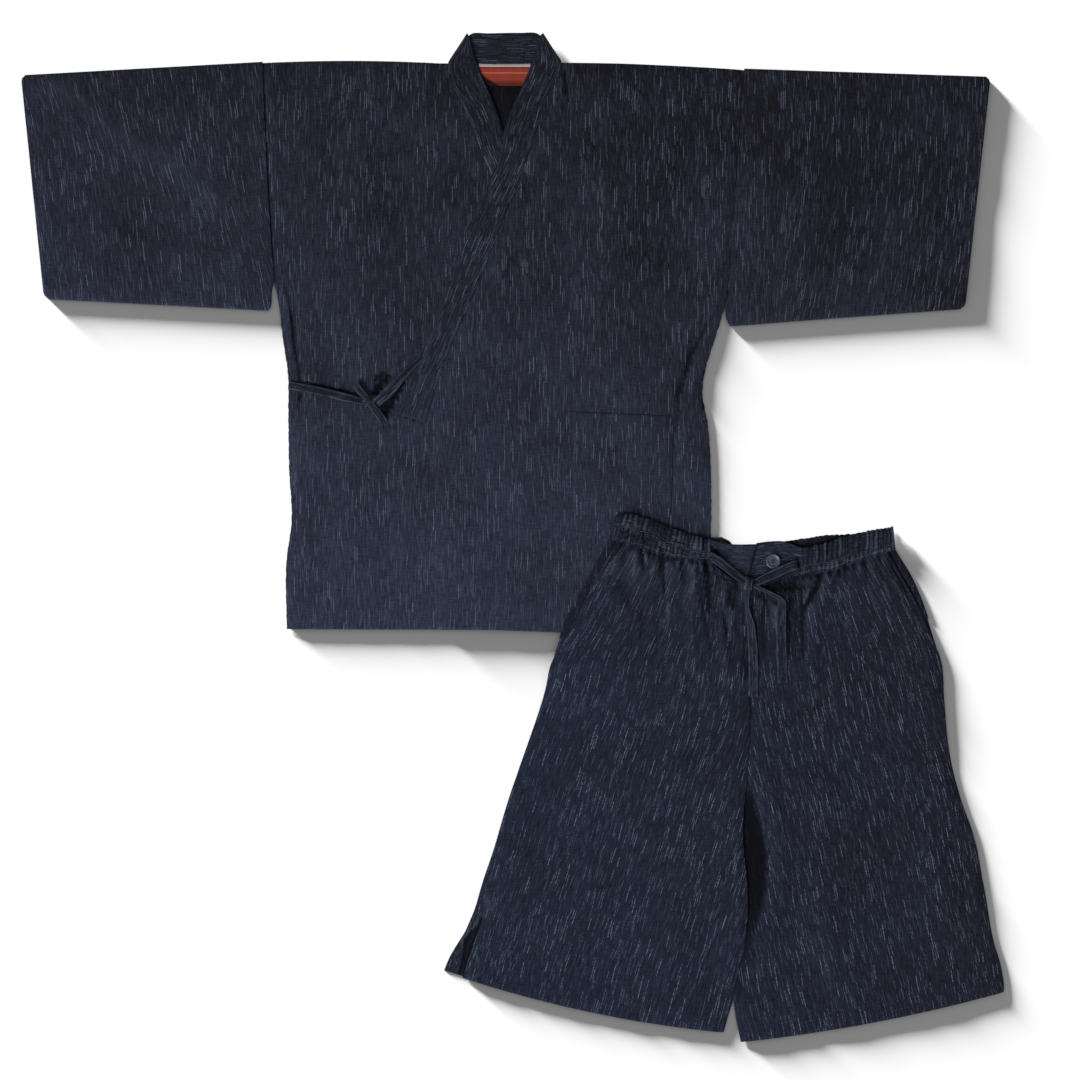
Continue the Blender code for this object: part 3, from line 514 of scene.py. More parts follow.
def makeKasuri(name, look):
    # striped navy cotton
    made, tree, shader = newMaterial(name, look["roughness"], look["sheen"])
    grain = put(tree, "UVMap", uv_map="grain")
    weave = place(tree, cottonWeave, Grain=grain)
    across, up, low, high = look["tilt"]
    wearAndLight = {"Across": across, "Up": up, "From": low, "To": high, "Patch": 9, "Amount": 0.35}
    ground = place(tree, wearAndPaintedLight, Fresh=look["freshShaded"], Faded=look["fadedLit"], **wearAndLight)["Tone"]
    slubTone = put(tree, "MapRange", weave["Slubs"], 0.32, 0.68, 1 - look["slub"], 1 + look["slub"])
    tone = mixTones(tree, 1, ground, slubTone, "MULTIPLY")
    bright = {label: look[label.lower()] for label in ("Pitch", "Cell", "Share", "Width", "Broken", "Speckle", "Seed")}
    pitch, cell, seed = look["pitch"], look["cell"], look["seed"]
    second = dict(bright, Pitch=pitch * 0.77, Cell=cell * 0.62, Width=look["width"] * 0.8, Seed=seed + 31.7)
    dim = {"Pitch": 1.15, "Cell": cell * 0.7, "Share": 0.62, "Width": 0.62, "Broken": 0.3, "Seed": seed + 5.3}
    for strength, dashes in (("dim", dim), ("second", second), ("bright", bright)):
        mask = place(tree, kasuriDashes, Grain=grain, **dashes)["Mask"]
        tone = mixTones(tree, putSum(tree, "MULTIPLY", mask, look[strength], clamp=True), tone, look["dash"])
    # painted shade darkens the yarn deep in its folds, and painted highlight makes it paler on its ridges
    fold = put(tree, "Attribute", attribute_name="fold", out=2)
    for much, towards in ((1, look["deep"]), (-0.32, look["dash"])):
        tone = mixTones(tree, putSum(tree, "MULTIPLY", fold, much, clamp=True), tone, towards)
    tree.links.new(tone, shader.inputs["Base Color"])
    addBump(tree, shader, weave["Height"], look["bump"], look["relief"])
    return made


def shade(red, green, blue):
    # from a screen colour, 0 to 255
    return tuple(((c / 255 + 0.055) / 1.055) ** 2.4 if c > 10 else c / 255 / 12.92 for c in (red, green, blue)) + (1,)


jacketLook = {
    "freshShaded": shade(24, 24, 31),
    "fadedLit": shade(44, 48, 64),
    "tilt": (0.35, 1, -0.15, 0.62),  # painted light, how its tone darkens over it: across, up, from, to
    "dash": shade(112, 122, 148),
    # deep: the colour of painted shade in folds. dash is also the colour of painted highlight on ridges
    "deep": shade(9, 9, 13),
    "pitch": 2.6,  # mm from one column of dashes to the next
    "cell": 31,  # mm that a dash and its gap take
    "share": 0.3,
    "width": 0.85,
    "broken": 0.6,
    "speckle": 0.5,
    "bright": 0.62,
    "second": 0.3,
    "dim": 0.12,
    "slub": 0.5,
    "seed": 3,
    "roughness": 0.92,
    "sheen": 0.02,
    "bump": 0.6,
    "relief": 0.00025,  # metres that the yarn stands up
}
shortsLook = dict(
    jacketLook, freshShaded=shade(27, 29, 40), fadedLit=shade(31, 36, 51), tilt=(1, 0.2, 0, 0.5),
    broken=0.8, speckle=0.4, bright=0.85, second=0.5, cell=29, seed=11,
)
bandLook = dict(
    jacketLook, seed=19, share=0.36, dim=0.16, bright=0.5, fadedLit=shade(36, 41, 55), tilt=(0, 1, -0.1, 0.6)
)
# the back's inside, seen through the neck, in painted shade: near black at the top under the label, paler lower down
shadedInsideLook = dict(
    jacketLook, freshShaded=shade(9, 9, 12), fadedLit=shade(23, 24, 32), tilt=(0, 1, 0.48, 0.57),
    dash=shade(48, 50, 58), bright=0.45, seed=23,
)
strapLook = dict(
    bandLook, freshShaded=shade(22, 25, 33), fadedLit=shade(28, 32, 44), bright=0.34, second=0.18, dim=0.24, pitch=1.9, seed=37
)
innerLook = dict(shortsLook, freshShaded=shade(28, 30, 39), fadedLit=shade(32, 36, 49), bright=0.6, second=0.3, seed=29)

kasuriJacket = makeKasuri("kasuri_jacket", jacketLook)
kasuriShorts = makeKasuri("kasuri_shorts", shortsLook)
kasuriBand = makeKasuri("kasuri_band", bandLook)
kasuriStrap = makeKasuri("kasuri_strap", strapLook)
kasuriShadedInside = makeKasuri("kasuri_shaded_inside", shadedInsideLook)
kasuriInner = makeKasuri("kasuri_inner", innerLook)


def makePlainCloth(name, tone, greyer, yarn, sheen=0, line=None):
    made, tree, shader = newMaterial(name, 0.8, sheen)
    grain = put(tree, "UVMap", uv_map="grain")
    weave = place(tree, cottonWeave, Grain=grain, Yarn=yarn)
    colour = mixTones(tree, put(tree, "MapRange", weave["Slubs"], 0.35, 0.65, 0, 1), tone, greyer)
    if line:
        # one thin woven line across
        along = put(tree, "SeparateXYZ", grain, out=1)
        off = putSum(tree, "ABSOLUTE", putSum(tree, "SUBTRACT", along, line["at"] * mm))
        colour = mixTones(tree, putSum(tree, "LESS_THAN", off, line["width"] * mm / 2), colour, line["tone"])
    # painted shade, where a piece is marked with it
    colour = mixTones(tree, put(tree, "Attribute", attribute_name="fold", out=2), colour, shade(22, 16, 18))
    tree.links.new(colour, shader.inputs["Base Color"])
    addBump(tree, shader, weave["Height"], 0.5, 0.00015)
    return made


labelLine = {"at": -11.9, "width": 1.5, "tone": shade(170, 92, 78)}
labelSatin = makePlainCloth("label_satin", shade(138, 58, 45), shade(126, 51, 40), 0.3, 0.05, labelLine)
# a white tape, given a grey tone as painted shade
shadedLabelTape = makePlainCloth("shaded_label_tape", shade(176, 164, 162), shade(156, 146, 145), 0.35)
paleThread = makePlainCloth("pale_thread", shade(104, 110, 130), shade(84, 90, 110), 0.25)
navyThread = makePlainCloth("navy_thread", shade(66, 72, 92), shade(48, 53, 70), 0.25)


def makeButtonFinish():
    made, tree, shader = newMaterial("button_resin", 0.32, 0, 0.5)
    where = put(tree, "TexCoord", out=3)
    swirl = put(tree, "TexNoise", where, None, 260, 3, 0.6, None, None, 1.2)
    tone = mixTones(tree, rampUp(tree, swirl, 0.35, 0.7), shade(52, 58, 74), shade(72, 78, 96))
    tree.links.new(tone, shader.inputs["Base Color"])
    scratch = put(tree, "TexNoise", where, None, 1500, 2)
    tree.links.new(put(tree, "MapRange", scratch, 0.3, 0.7, 0.26, 0.42), shader.inputs["Roughness"])
    addBump(tree, shader, scratch, 0.3, 0.0001)
    return made


buttonResin = makeButtonFinish()
print("finishes made")


# the jacket's body

jacket = {
    "loft": 1.3,  # mm that the cloth stands off what it lies on
    "sewn": 14,  # mm beside a seam where it is held down
    "cell": 4.5,
    "runCell": 3.4,
    "backCell": 9,
    "backCut": (606, 722),
    # closer points across and along: from, to, step
    "right": {"cut": (372, 716), "fine": (((0, 34, 1.8), (96, 180, 1.4)), ((378, 454, 1.5),))},
    "left": {"cut": (360, 732), "fine": (((298, 350, 2.2),), ())},
}


def coveredByShorts(x, y):
    return ease(20, 80, x) * (1 - ease(-560, -480, y))


def rightBandBase(y):
    return layer + 1.4 * ease(-90, -40, y)


def leftFrontBase(x):
    return 3.3 + (layer - 3.3) * ease(140, 205, x)


def sewnDown(share, width, reach, tucked=(0, 0)):
    # 0 at both long edges and over what is tucked into a band, 1 inside them
    return ease(0, reach, share * width - tucked[0]) * ease(0, reach, (1 - share) * width - tucked[1])


# panels are laid through rows: where a line across starts, where it ends, and its bow
backRows = (
    (-302, -0.5, 300.5, -9.5, 4.5), (-297, -128, 291, -140), (-287.2, -276, 283, -252), (-283.8, -290, 279, -292),
    (-280, -311, 273, -314), (-277.6, -333, 265.5, -335), (-274.5, -355, 258.5, -357), (-270.5, -383, 250.5, -382),
    (-269.5, -420, 246.5, -411), (-268.5, -508, 258.5, -506), (-265.5, -574, 257, -574), (-271.5, -619, 256, -640),
    (-271, -704, 256, -718, 3),
)
rightFrontRows = (
    (-302, 0.5, -70, -0.5, 3.2), (-301.3, -21, -63.5, -21), (-300, -60, -44, -60), (-297, -128, -16.5, -128),
    (-292.8, -200, 10, -200), (-287.4, -276, 37.5, -276), (-284.2, -289, 43, -289), (-280.6, -309, 51.5, -309),
    (-278.2, -333, 61, -333), (-275.2, -355, 69.5, -355), (-271, -383, 79, -383), (-270, -445, 98, -448),
    (-269, -508, 98, -508), (-266, -574, 97, -574), (-272, -619, 96, -619), (-272, -707.5, 93, -709),
)
leftFrontRows = (
    (69, 0.5, 300.5, -8.5, 2.2), (45, -51, 297, -60), (31.5, -101, 293, -112), (8, -161, 288.6, -176),
    (-26.5, -251, 283.4, -250), (-38.5, -280, 281.6, -282), (-48.5, -303, 276.2, -304), (-60, -332, 267.3, -333),
    (-70, -355, 260.2, -355), (-80, -380, 252.5, -380), (-89, -411, 248, -411), (-98, -452, 254.5, -450),
    (-98.5, -545, 259, -545), (-96, -640, 257, -640), (-93, -706.5, 257, -721, 1.5),
)
jacketCreases = (
    (8, -200, -8, -258, -3, 4.5, -1.7), (-7, -245, -36, -385, -5, 6.5, -2.2), (16, -215, -16, -375, -8, 13, 2.3),
    (262, -306, 228, -366, -3, 5, -3.4), (236, -352, 214, -424, 3, 4.5, -3), (216, -408, 209, -470, -3, 4, -2.2),
    (210, -455, 206, -560, 1, 4, -1.4), (244, -300, 198, -400, 8, 11, 2.6), (262, -330, 232, -420, 6, 9, 1.8),
    (228, -440, 226, -560, -2, 10, 1.6), (150, -30, 244, -230, 12, 22, 1.8), (90, -70, 128, -260, -8, 20, -1.3),
    (30, -480, 36, -660, 6, 24, 1.6), (120, -250, 108, -380, 5, 18, 1.3), (-190, -60, -160, -250, 12, 24, 2),
    (-262, -280, -256.5, -376, -2, 3.2, -2.4), (-256, -388, -258, -440, 2, 4, -2),
    (-270, -300, -262, -400, -3, 6, 1.5), (-248, -300, -244, -440, 4, 10, 1.8), (-250, -470, -262, -560, 4, 5, -1.2),
    (-120, -150, -135, -330, -9, 20, -1.3), (-200, -480, -190, -670, 6, 24, 1.8),
    (-130, -520, -142, -690, -5, 18, -1.3), (-252, -520, -246, -680, 4, 10, 1.3), (-60, -400, -64, -640, 4, 18, 1.3),
    (76, -2, 80, -62, 2, 4, -2.6), (64, -4, 70, -66, 2, 6, 1.6), (92, -6, 94, -110, -2, 9, 1.2),
    (150, -392, 196, -340, 6, 12, 1.2),
)

# where the jacket's cloth is pressed into folds and painted shade darkens them: at its sides, then painted shadow about
# the tie
sidePressed = (
    (262.5, -311.2, 252.5, -328.8, 2.8, 0.45), (252.5, -328.8, 241.2, -350, 3.5, 0.65),
    (241.2, -350, 232.5, -367.5, 4, 0.9), (232.5, -367.5, 225, -393.8, 4.2, 0.8),
    (225, -393.8, 216.2, -416.2, 4, 0.7), (217.5, -413.8, 212.5, -471.2, 2.8, 0.6),
    (212.5, -471.2, 208.8, -552.5, 2.2, 0.5), (251.2, -383.8, 247.5, -411.2, 2, 0.8),
    (247.8, -406.2, 250, -433.8, 2.8, 0.97), (-275.2, -271.2, -272.8, -286.2, 1.1, 0.4),
    (-272.8, -283.8, -267.5, -307.5, 1.4, 0.7), (-267.5, -307.5, -265, -327.5, 1.9, 0.85),
    (-265, -327.5, -263.1, -350, 1.4, 0.9), (-263.1, -350, -257.5, -381.2, 1.5, 0.9),
    (-257.5, -378.8, -255.6, -395, 2.5, 0.8), (-255, -412.5, -255, -423.8, 2.5, 0.9),
    (-255, -423.8, -256.2, -448.8, 2, 0.5), (74.7, 1.2, 77.5, -41.2, 1.6, 0.75),
    (-8.8, -258.8, -32.5, -296.2, 1.5, 0.3), (281.2, -282.5, 278.1, -303.8, 1.8, 0.95),
    (12.5, -241.2, -5, -277.5, 4.5, 0.26), (-5, -277.5, -20, -306.2, 4.8, 0.34),
    (-20, -306.2, -22.5, -351.2, 4.2, 0.28),
)
tieShadowsAndHollows = (
    (-161.2, -395, -148.8, -386.9, 4.2, 0.85), (-158.1, -403.8, -144.4, -391.2, 5.8, 0.95),
    (-161.9, -410, -152.5, -403.1, 5.2, 0.97), (-161.2, -416.9, -158.1, -411.2, 3.2, 0.97),
    (-125, -393.8, -132.5, -410, 4.2, 0.95), (-132.5, -410, -141.2, -425, 6, 0.97),
    (-141.2, -425, -148.8, -436.2, 7, 0.97), (-155, -426.2, -140, -415, 4.8, 0.97),
    (-150, -442.5, -142.5, -436.2, 4, 0.6), (-251.2, -397.5, -217.5, -406.9, 1.6, 0.75),
    (-217.5, -406.9, -187.5, -414.4, 2.6, 0.97), (-150, -453.8, -130, -456.2, 3.5, 0.42),
    (-132.5, -440, -100, -449.4, 1.5, 0.75), (-256.9, -416.2, -254.4, -420, 2, 0.8),
)


def jacketPaintedShade(x, y, across, run):
    # painted shade in the side folds and painted shadow about the tie, none where the shorts cover it
    return pressed(sidePressed + tieShadowsAndHollows, x, y) * (1 - coveredByShorts(x, y))


def sideScallops(x, y, across, run):
    # the side seams pull their edges into small waves
    wave = 0.3 * np.sin(y * 0.66 + 1.9 * np.sin(y * 0.083)) + 0.25 * np.sin(y * 0.31 + 2)
    near = ease(0.94, 1, across) - ease(0.94, 1, 1 - across) * 0.7
    return wave * near * ease(285, 330, -y), 0


def frontLoft(x, y, across, width, seed, tucked=(0, 0)):
    free = sewnDown(across, width, jacket["sewn"], tucked) * ease(0, 14, -y)
    air = jacket["loft"] * (0.75 + 0.35 * ripple(x, y, 150, seed) + 0.2 * ripple(x, y, 52, seed + 1))
    hollow = 1.3 * pressed(tieShadowsAndHollows, x, y) + 0.9 * pressed(sidePressed, x, y)
    return np.maximum(0, air + 0.9 + creaseRise(jacketCreases, x, y) - hollow) * free


def onRightFront(x, y, across=0.5, tucked=(0, 0)):
    shown = 1 - ease(-110, -60, x + 0.25 * (y + 402))
    return layer + face + frontLoft(x, y, across, 330, 11, tucked) * shown


def onLeftFront(x, y, across=0.5, tucked=(0, 0)):
    return leftFrontBase(x) + face + frontLoft(x, y, across, 340, 12, tucked) * (1 - coveredByShorts(x, y))


def rightFrontHeight(x, y, across, run):
    return onRightFront(x, y, across, (0, 6.5))


def leftFrontHeight(x, y, across, run):
    above = 0.96 * (y + 561 + 0.287 * (x - 145))  # the shorts' band pushes the cloth up along its edge
    bunched = 2 * ease(-9, -1, above) * (1 - ease(2, 20, above)) * ease(128, 146, x) * ease(0, 14, 259 - x)
    return onLeftFront(x, y, across, (6.5, 0)) + bunched


def layBack():
    how = {"cell": jacket["backCell"], "under": kasuriJacket}
    back = layPanel("jacket_back_cloth", backRows, lambda x, y, a, r: 0.9 + 0 * x, nape, kasuriShadedInside, **how)
    enrol(back["piece"], "jacket_back")


def layFront(side, rows, height):
    facts = jacket[side]
    how = {"cell": jacket["cell"], "runCell": jacket["runCell"], "shift": sideScallops, "fold": jacketPaintedShade}
    front = layPanel(f"jacket_front_{side}_cloth", rows, height, nape, kasuriJacket, fine=facts["fine"], **how)
    enrol(front["piece"], f"jacket_front_{side}")
    return front


layBack()
rightFront = layFront("right", rightFrontRows, rightFrontHeight)
leftFront = layFront("left", leftFrontRows, leftFrontHeight)
print("jacket's body laid")

# sleeves

sleeveCreases = (
    (-560, -60, -330, -200, 14, 22, 2.8), (-520, -140, -372, -262, -10, 16, -1.7),
    (-545, -205, -350, -262, 8, 15, 2.1), (-330, -60, -318, -250, 6, 12, -1.4), (-580, -120, -560, -260, 4, 11, 1.3),
    (-480, -30, -350, -90, -6, 14, 1.4), (340, -60, 560, -96, 8, 20, 2), (330, -270, 500, -170, 12, 20, 2.4),
    (360, -290, 540, -250, -6, 13, -1.5), (326, -80, 338, -240, -5, 12, 1.4), (560, -80, 570, -240, 6, 14, -1.3),
    (420, -110, 560, -150, -6, 12, -1),
)
sleeves = {
    # armhole: y and x down it. cut: y of its top and bottom, then the cuff's two corners
    "right": {
        "armhole": (
            (0, -302), (-60, -299.8), (-128, -296.8), (-200, -292.6), (-270, -287.6), (-277, -289.2), (-284, -290.7),
            (-300, -291.2), (-306, -292.6), (-310, -296.5),
        ),
        "cut": (2, -309.5, -604, -14.5, -575, -295),
        "lean": lambda x, y: x + 0.11 * y + 10 * np.tanh((y + 42 + 0.7 * (x + 554)) / 45),
    },
    "left": {
        "armhole": (
            (-9, 300.3), (-60, 296.8), (-112, 292.8), (-176, 288.4), (-250, 283.2), (-283, 281.2), (-303, 276.4),
            (-316, 277.2), (-323, 278.6), (-327, 282.5),
        ),
        "cut": (-6.5, -329, 608, -16.5, 576, -307.5),
        "lean": lambda x, y: x + 0.00036 * y * y * ease(290, 380, x) + 0.03 * y,
    },
    "height": 4.4,
    "cell": 4.5,
    "hem": 20,
}
# a painted highlight along the right sleeve's long soft ridge
sleevePaintedHighlight = (
    (-565, -26.2, -515, -63.8, 12.5, 0.1), (-515, -63.8, -420, -127.5, 15.5, 0.12),
    (-420, -127.5, -335, -188.8, 14, 0.08),
)


def laySleeve(side):
    facts = sleeves[side]
    topY, bottomY, cuffTopX, cuffTopY, cuffBottomX, cuffBottomY = facts["cut"]
    holeY, holeX = np.array(facts["armhole"]).T
    deep, reach = topY - bottomY, abs(cuffTopX - holeX[0])
    sideShares = spread(deep, sleeves["cell"])
    around = np.concatenate([sideShares, sideShares[-2:0:-1]])
    share, out = np.meshgrid(around, spread(reach, sleeves["cell"], (reach - sleeves["hem"],)))
    upper = np.broadcast_to(np.arange(len(around)) < len(sideShares), share.shape)
    top = topY + (cuffTopY - topY) * out
    bottom = bottomY + (cuffBottomY - bottomY) * out
    y = top + (bottom - top) * share
    edge = np.minimum(share, 1 - share) * deep
    cuffX = cuffTopX + (cuffBottomX - cuffTopX) * ((y - cuffTopY) / (cuffBottomY - cuffTopY))
    # the cuff's corners are turned in a little
    cuffX = cuffX - math.copysign(5, cuffTopX) * (1 - ease(0, 9, edge)) ** 2
    startX = np.interp(-y, -holeY, holeX)
    x = startX + (cuffX - startX) * out
    rounded = np.sqrt(np.clip(1 - (1 - np.clip(edge / 3.2, 0, 1)) ** 2, 0, 1))
    fromSeam, fromCuff = out * reach, (1 - out) * reach
    air = 0.9 * (1.3 + 0.35 * ripple(x, y, 130, 31) + 0.25 * ripple(x, y, 46, 32))
    loft = np.maximum(0, air + creaseRise(sleeveCreases, x, y)) * (ease(0, 16, fromSeam) * ease(0, 14, edge))
    half = sleeves["height"] / 2
    z = np.where(upper, half + half * rounded + loft, half - half * rounded)
    z = z - np.where(upper, 0.4 * (1 - ease(0, 2.4, fromCuff)) + 0.35 * (1 - ease(0, 2, fromSeam)), 0)
    z = z - np.where(upper & (fromCuff > sleeves["hem"] + 0.5), 0.3, 0) * ease(0, 12, edge)
    u = facts["lean"](x, y) + np.where(upper, 0, 700)
    piece = makeMesh(f"sleeve_{side}_cloth", x, y, z, u, y, nape, kasuriJacket, closed=True, flip=side == "left")
    paintShading(piece, -pressed(sleevePaintedHighlight, x, y) * upper)
    thicken(piece, cloth["thickness"])
    enrol(piece, f"sleeve_{side}")


laySleeve("right")
laySleeve("left")
print("sleeves laid")

# collar band

collar = {"cell": 3, "thickness": 1.3, "crown": 0.5}

backBandRows = (
    (-55, 0.1, -48, 31), (-42.5, 0.1, -41, 37.2), (-20, 0.1, -20, 37.8), (20, 0.1, 20, 38.4), (42.5, 0.1, 41.5, 37.6),
    (57, 0.1, 49.5, 31),
)
rightBandRows = (
    (-46.4, 37.6, -43.4, 33), (-52.6, 28, -40.4, 23.5), (-58.8, 18.5, -38.2, 13), (-65.4, 8.5, -34.6, 3),
    (-69.6, 1.4, -31.6, -6), (-70.4, -5, -28, -14.5), (-67.4, -20, -22.6, -27), (-58.6, -40, -16, -42),
    (-48.5, -60, -9.5, -58.5), (-21.5, -128, 8, -112), (-8, -161, 20, -143), (33.5, -278, 61, -266),
    (62, -345, 89, -334), (96.5, -448, 134, -437),
)
leftBandRows = (
    (43, 33, 48.8, 37.6), (41, 22, 55, 28), (38.6, 12, 61, 18.5), (35.2, 2.6, 67.2, 9), (32.4, -5, 71.2, 3),
    (28.8, -14, 70.6, -4.5), (23.6, -26, 64.6, -20), (16.5, -42, 53, -44), (0, -85, 36.3, -101), (-3, -111, 26, -126),
    (-17, -143, 12.8, -161), (-59, -251, -28.5, -267), (-89, -334, -62, -345), (-111, -386, -83, -400),
    (-135.5, -437, -98, -451),
)


def bandCrown(across, run, width, seed):
    # soft over its folded edges, a little hollow along its middle
    edge = np.minimum(across, 1 - across) * width
    plump = collar["crown"] * (ease(0, 2.6, edge) - 0.35 * ease(3, 12, edge))
    return plump + 0.22 * ripple(run, across * width, 34, seed) * ease(0, 6, edge)


def layBand(side, rows, base, width, seed):
    def height(x, y, across, run):
        return base(x, y) + 1.5 + bandCrown(across, run, width, seed)

    def grain(x, y, across, run):
        return across * width + seed * 41, run + seed * 17

    band = layPanel(f"collar_{side}_cloth", rows, height, nape, kasuriBand, cell=collar["cell"],
                    thickness=collar["thickness"], grain=grain)
    enrol(band["piece"], f"collar_{side}")
    return band


backBand = layBand("back", backBandRows, lambda x, y: 0, 38, 1)
rightBand = layBand("right", rightBandRows, lambda x, y: rightBandBase(y), 32, 2)
leftBand = layBand("left", leftBandRows, lambda x, y: leftFrontBase(x), 32, 3)
print("collar laid")

# pocket and label

pocketRows = (
    (85, -436, 211, -441.5), (86, -520, 210, -524), (88, -590, 207, -593),
)
labelRows = ((-34, -4.6, 33, -4.6), (-33.5, -16, 33, -16), (-31, -22, 33, -22), (-20, -27.4, 30, -27.4, -0.6))
stripRows = ((-32, -0.2, 33, -0.2, -0.8), (-32, -4.6, 33, -4.6))


def pocketHeight(x, y, across, run):
    return onLeftFront(x, y) + 1.05 + 0.25 * ripple(x, y, 60, 51) * sewnDown(across, 125, 20)


def labelHeight(x, y, across, run):
    return layer + 0.9 + 0.15 * ripple(x, y, 22, 61) + 0.5 * ease(-9, -4.5, y)


def labelPaintedShade(x, y, across, run):
    # painted shadow at its lower corner, and painted shade at its foot and under the strip
    corner = 0.95 * (1 - ease(-1.5, 3, y + 14.2 + 0.69 * (x + 28.8)))
    return corner + 0.7 * ease(-18.5, -27, y) + 0.4 * (1 - ease(0, 0.9, np.abs(y + 5.6)))


def pocketGrain(x, y, across, run):
    # its stripes miss those of the front a little
    return x + 3.1, y - 9


patch = {"cell": 4, "hem": (20,)}
label = {"cell": 1.5, "thickness": 0.6}
strip = {"cell": 1.2, "thickness": 0.7}
pocketNet = layPanel("patch_pocket_cloth", pocketRows, pocketHeight, nape, kasuriJacket, grain=pocketGrain, **patch)
labelNet = layPanel("neck_label_cloth", labelRows, labelHeight, nape, labelSatin, fold=labelPaintedShade, **label)
stripNet = layPanel("label_strip_cloth", stripRows, lambda x, y, a, r: layer + 1 + 0 * x, nape, shadedLabelTape, **strip)
enrol(pocketNet["piece"], "patch_pocket")
enrol(labelNet["piece"], "neck_label")
enrol(stripNet["piece"], "label_strip")
print("pocket and label laid")

# the jacket's tie

tieStraps = (
    # its name, what it stands for, its length and width as cut, seed, step, and its stops
    ("side_tie_strap", "side_tie", (104, 10), 1, 2, (
        (-269, -402.5, 0.4, 10, 0), (-242.5, -407.5, 1.6, 10, 0), (-217.5, -413, 3, 10.5, 5),
        (-196, -418.5, 4, 10.5, -4), (-182, -422, 4.2, 9, -14), (-168, -424.5, 3.4, 8, 0),
    )),
    ("collar_tie_strap", "collar_tie", (104, 11), 2, 1.5, (
        (-100, -366, 0.2, 8, 10), (-112, -377.5, 2.2, 8, 24), (-124, -389.5, 6, 10.5, 22), (-135.5, -401.5, 8, 13, 6),
        (-147, -414, 8.2, 13, -6), (-156.5, -423, 6.6, 11.5, 0), (-158.5, -425, 4.4, 11, 0), (-154.5, -422, 2, 11, 0),
        (-142, -412, 1, 10, 0),
    )),
    ("collar_tie_edge", "collar_tie", (32, 10), 4, 2, (
        (-104, -372.5, 0.4, 6, 0), (-114, -383.5, 0.8, 6, 0), (-126, -395.5, 0.8, 6.5, 0),
    )),
    ("tie_ends_strap", "tie_ends", (61, 10), 3, 2, (
        (-186, -402, 4.4, 9.5, 8), (-180, -409.5, 5, 9, 4), (-172, -418.5, 5.4, 7.5, 0), (-165, -427.5, 4.8, 8, 0),
        (-157.5, -438, 3.2, 9.5, -4), (-149.5, -449.5, 1.4, 10.5, 0),
    )),
)
tieKnot = (
    # its name, its length and width as cut, middle, turn in degrees, span, rise, width, seed, lean
    ("tie_knot_over", (24, 10), (-169.5, -422.5), 38, 14, 6.6, 10, 5, 10),
    ("tie_knot_under", (20, 10), (-165, -420.5), 78, 12.5, 5.2, 9, 6, -8),
)


def layTie():
    for name, node, cut, seed, step, stops in tieStraps:
        piece = ribbon(name, stops, nape, under=onRightFront, seed=seed, step=step)
        enrol(piece, node)
    low = float(onRightFront(np.array(-168), np.array(-423))) + 0.6
    for name, cut, middle, turn, span, rise, width, seed, lean in tieKnot:
        piece = archOver(name, (*middle, low), turn, span, rise, width, nape, seed, lean)
        enrol(piece, "tie_knot")


layTie()
print("tie laid")

# the shorts' legs

shorts = {
    "loft": 1.5,
    "cut": (366, 640),  # each panel's width at the hem and its length
    "area": 0.2,  # square metres of each
    "lean": {"right": 16, "left": -12},  # degrees that the threads slant
    "back": {"cell": 6},
    "front": {"cell": 1.9, "runCell": 6, "fine": ((), ((0, 190, 2.4),))},
    "slitFine": (((0, 40, 1.6),), ((500, 604, 2.4),)),
    "sideCuts": {"right": (14, 140), "left": (12, 92)},  # of the cloth in the side pockets
    "sideAreas": {"right": 0.0016, "left": 0.0008},
}


def shortsBase(x, y):
    # the jacket under them is thinner beyond its pocket, and ends at its side and hem
    jacketSide, jacketHem = nape[0] + 258 - waist[0], nape[1] - 722 - waist[1]
    past = np.hypot(np.maximum(0, x - jacketSide), np.maximum(0, jacketHem - y))
    return (2.6 + leftFrontBase(x + waist[0] - nape[0])) * (1 - ease(30, 115, past))


def shortsFrontBase(x, y):
    seam = -45 + 0.0016 * x * x
    return shortsBase(x, y) + layer * (1 + ease(seam - 45, seam - 10, y))


backRightRows = (
    (-173, 22, -4, -14), (-204, -44, -4, -60), (-232, -96, -4, -110), (-250, -147, -4, -155),
    (-257.5, -182, -4, -195), (-291, -281, -8, -281), (-304, -319, -24, -322), (-322, -380, -28, -370),
    (-338, -430, -24, -430), (-347.5, -457, -23, -458), (-353.4, -471, -24, -480), (-359.2, -484, -25, -494),
    (-364.8, -493, -26, -506), (-376.4, -512, -30, -535), (-382.2, -524.5, -35, -575, -6),
    (-385.2, -532.2, -39, -606, -9),
)
frontRightRows = (
    (-160, 18, -1.4, -28, 5), (-200.5, -51, -1.4, -75), (-219, -92, -1.4, -112), (-251, -147, -1.4, -155),
    (-259, -182, -1.4, -195), (-292, -281, -4, -281), (-305, -319, -9.5, -322), (-323, -380, -11, -370),
    (-338, -425, -5.6, -430), (-345, -450, -5, -452), (-347.5, -460, -5.4, -462), (-338.4, -464.6, -6, -470),
    (-340.2, -476, -7.6, -487), (-344.6, -489, -9, -501), (-349.2, -502.5, -12, -518), (-354, -515.5, -16, -546),
    (-359.2, -531.5, -28.5, -585, -6), (-362, -541, -35.5, -609.5, -9.5),
)
backLeftRows = (
    (-2, -14, 172, 5), (-2, -60, 203, -45), (-2, -110, 225, -109), (-2, -145, 235, -143), (-2, -195, 240, -195),
    (-2, -279, 251, -279), (-4, -319, 262, -320), (-6, -369, 275, -365), (-6, -431, 290, -425), (-3, -488, 300, -484),
    (-12, -539, 309.5, -525, -3), (-18, -576, 313.5, -548, -5), (-10, -616, 314.5, -556, -7),
)
frontLeftRows = (
    (-3.6, -28, 165, 0), (-3.6, -75, 204, -69), (-3, -112, 222.5, -109), (-2.5, -145, 236, -143),
    (-2.5, -195, 240.5, -195), (-6, -279, 250, -279), (-18, -319, 262, -320), (-24, -369, 278, -365),
    (-23, -431, 289.5, -425), (-23, -488, 299, -484), (-21, -539, 311, -525, -3), (-22, -578, 315, -548, -5),
    (-14, -621.5, 315, -559, -7),
)
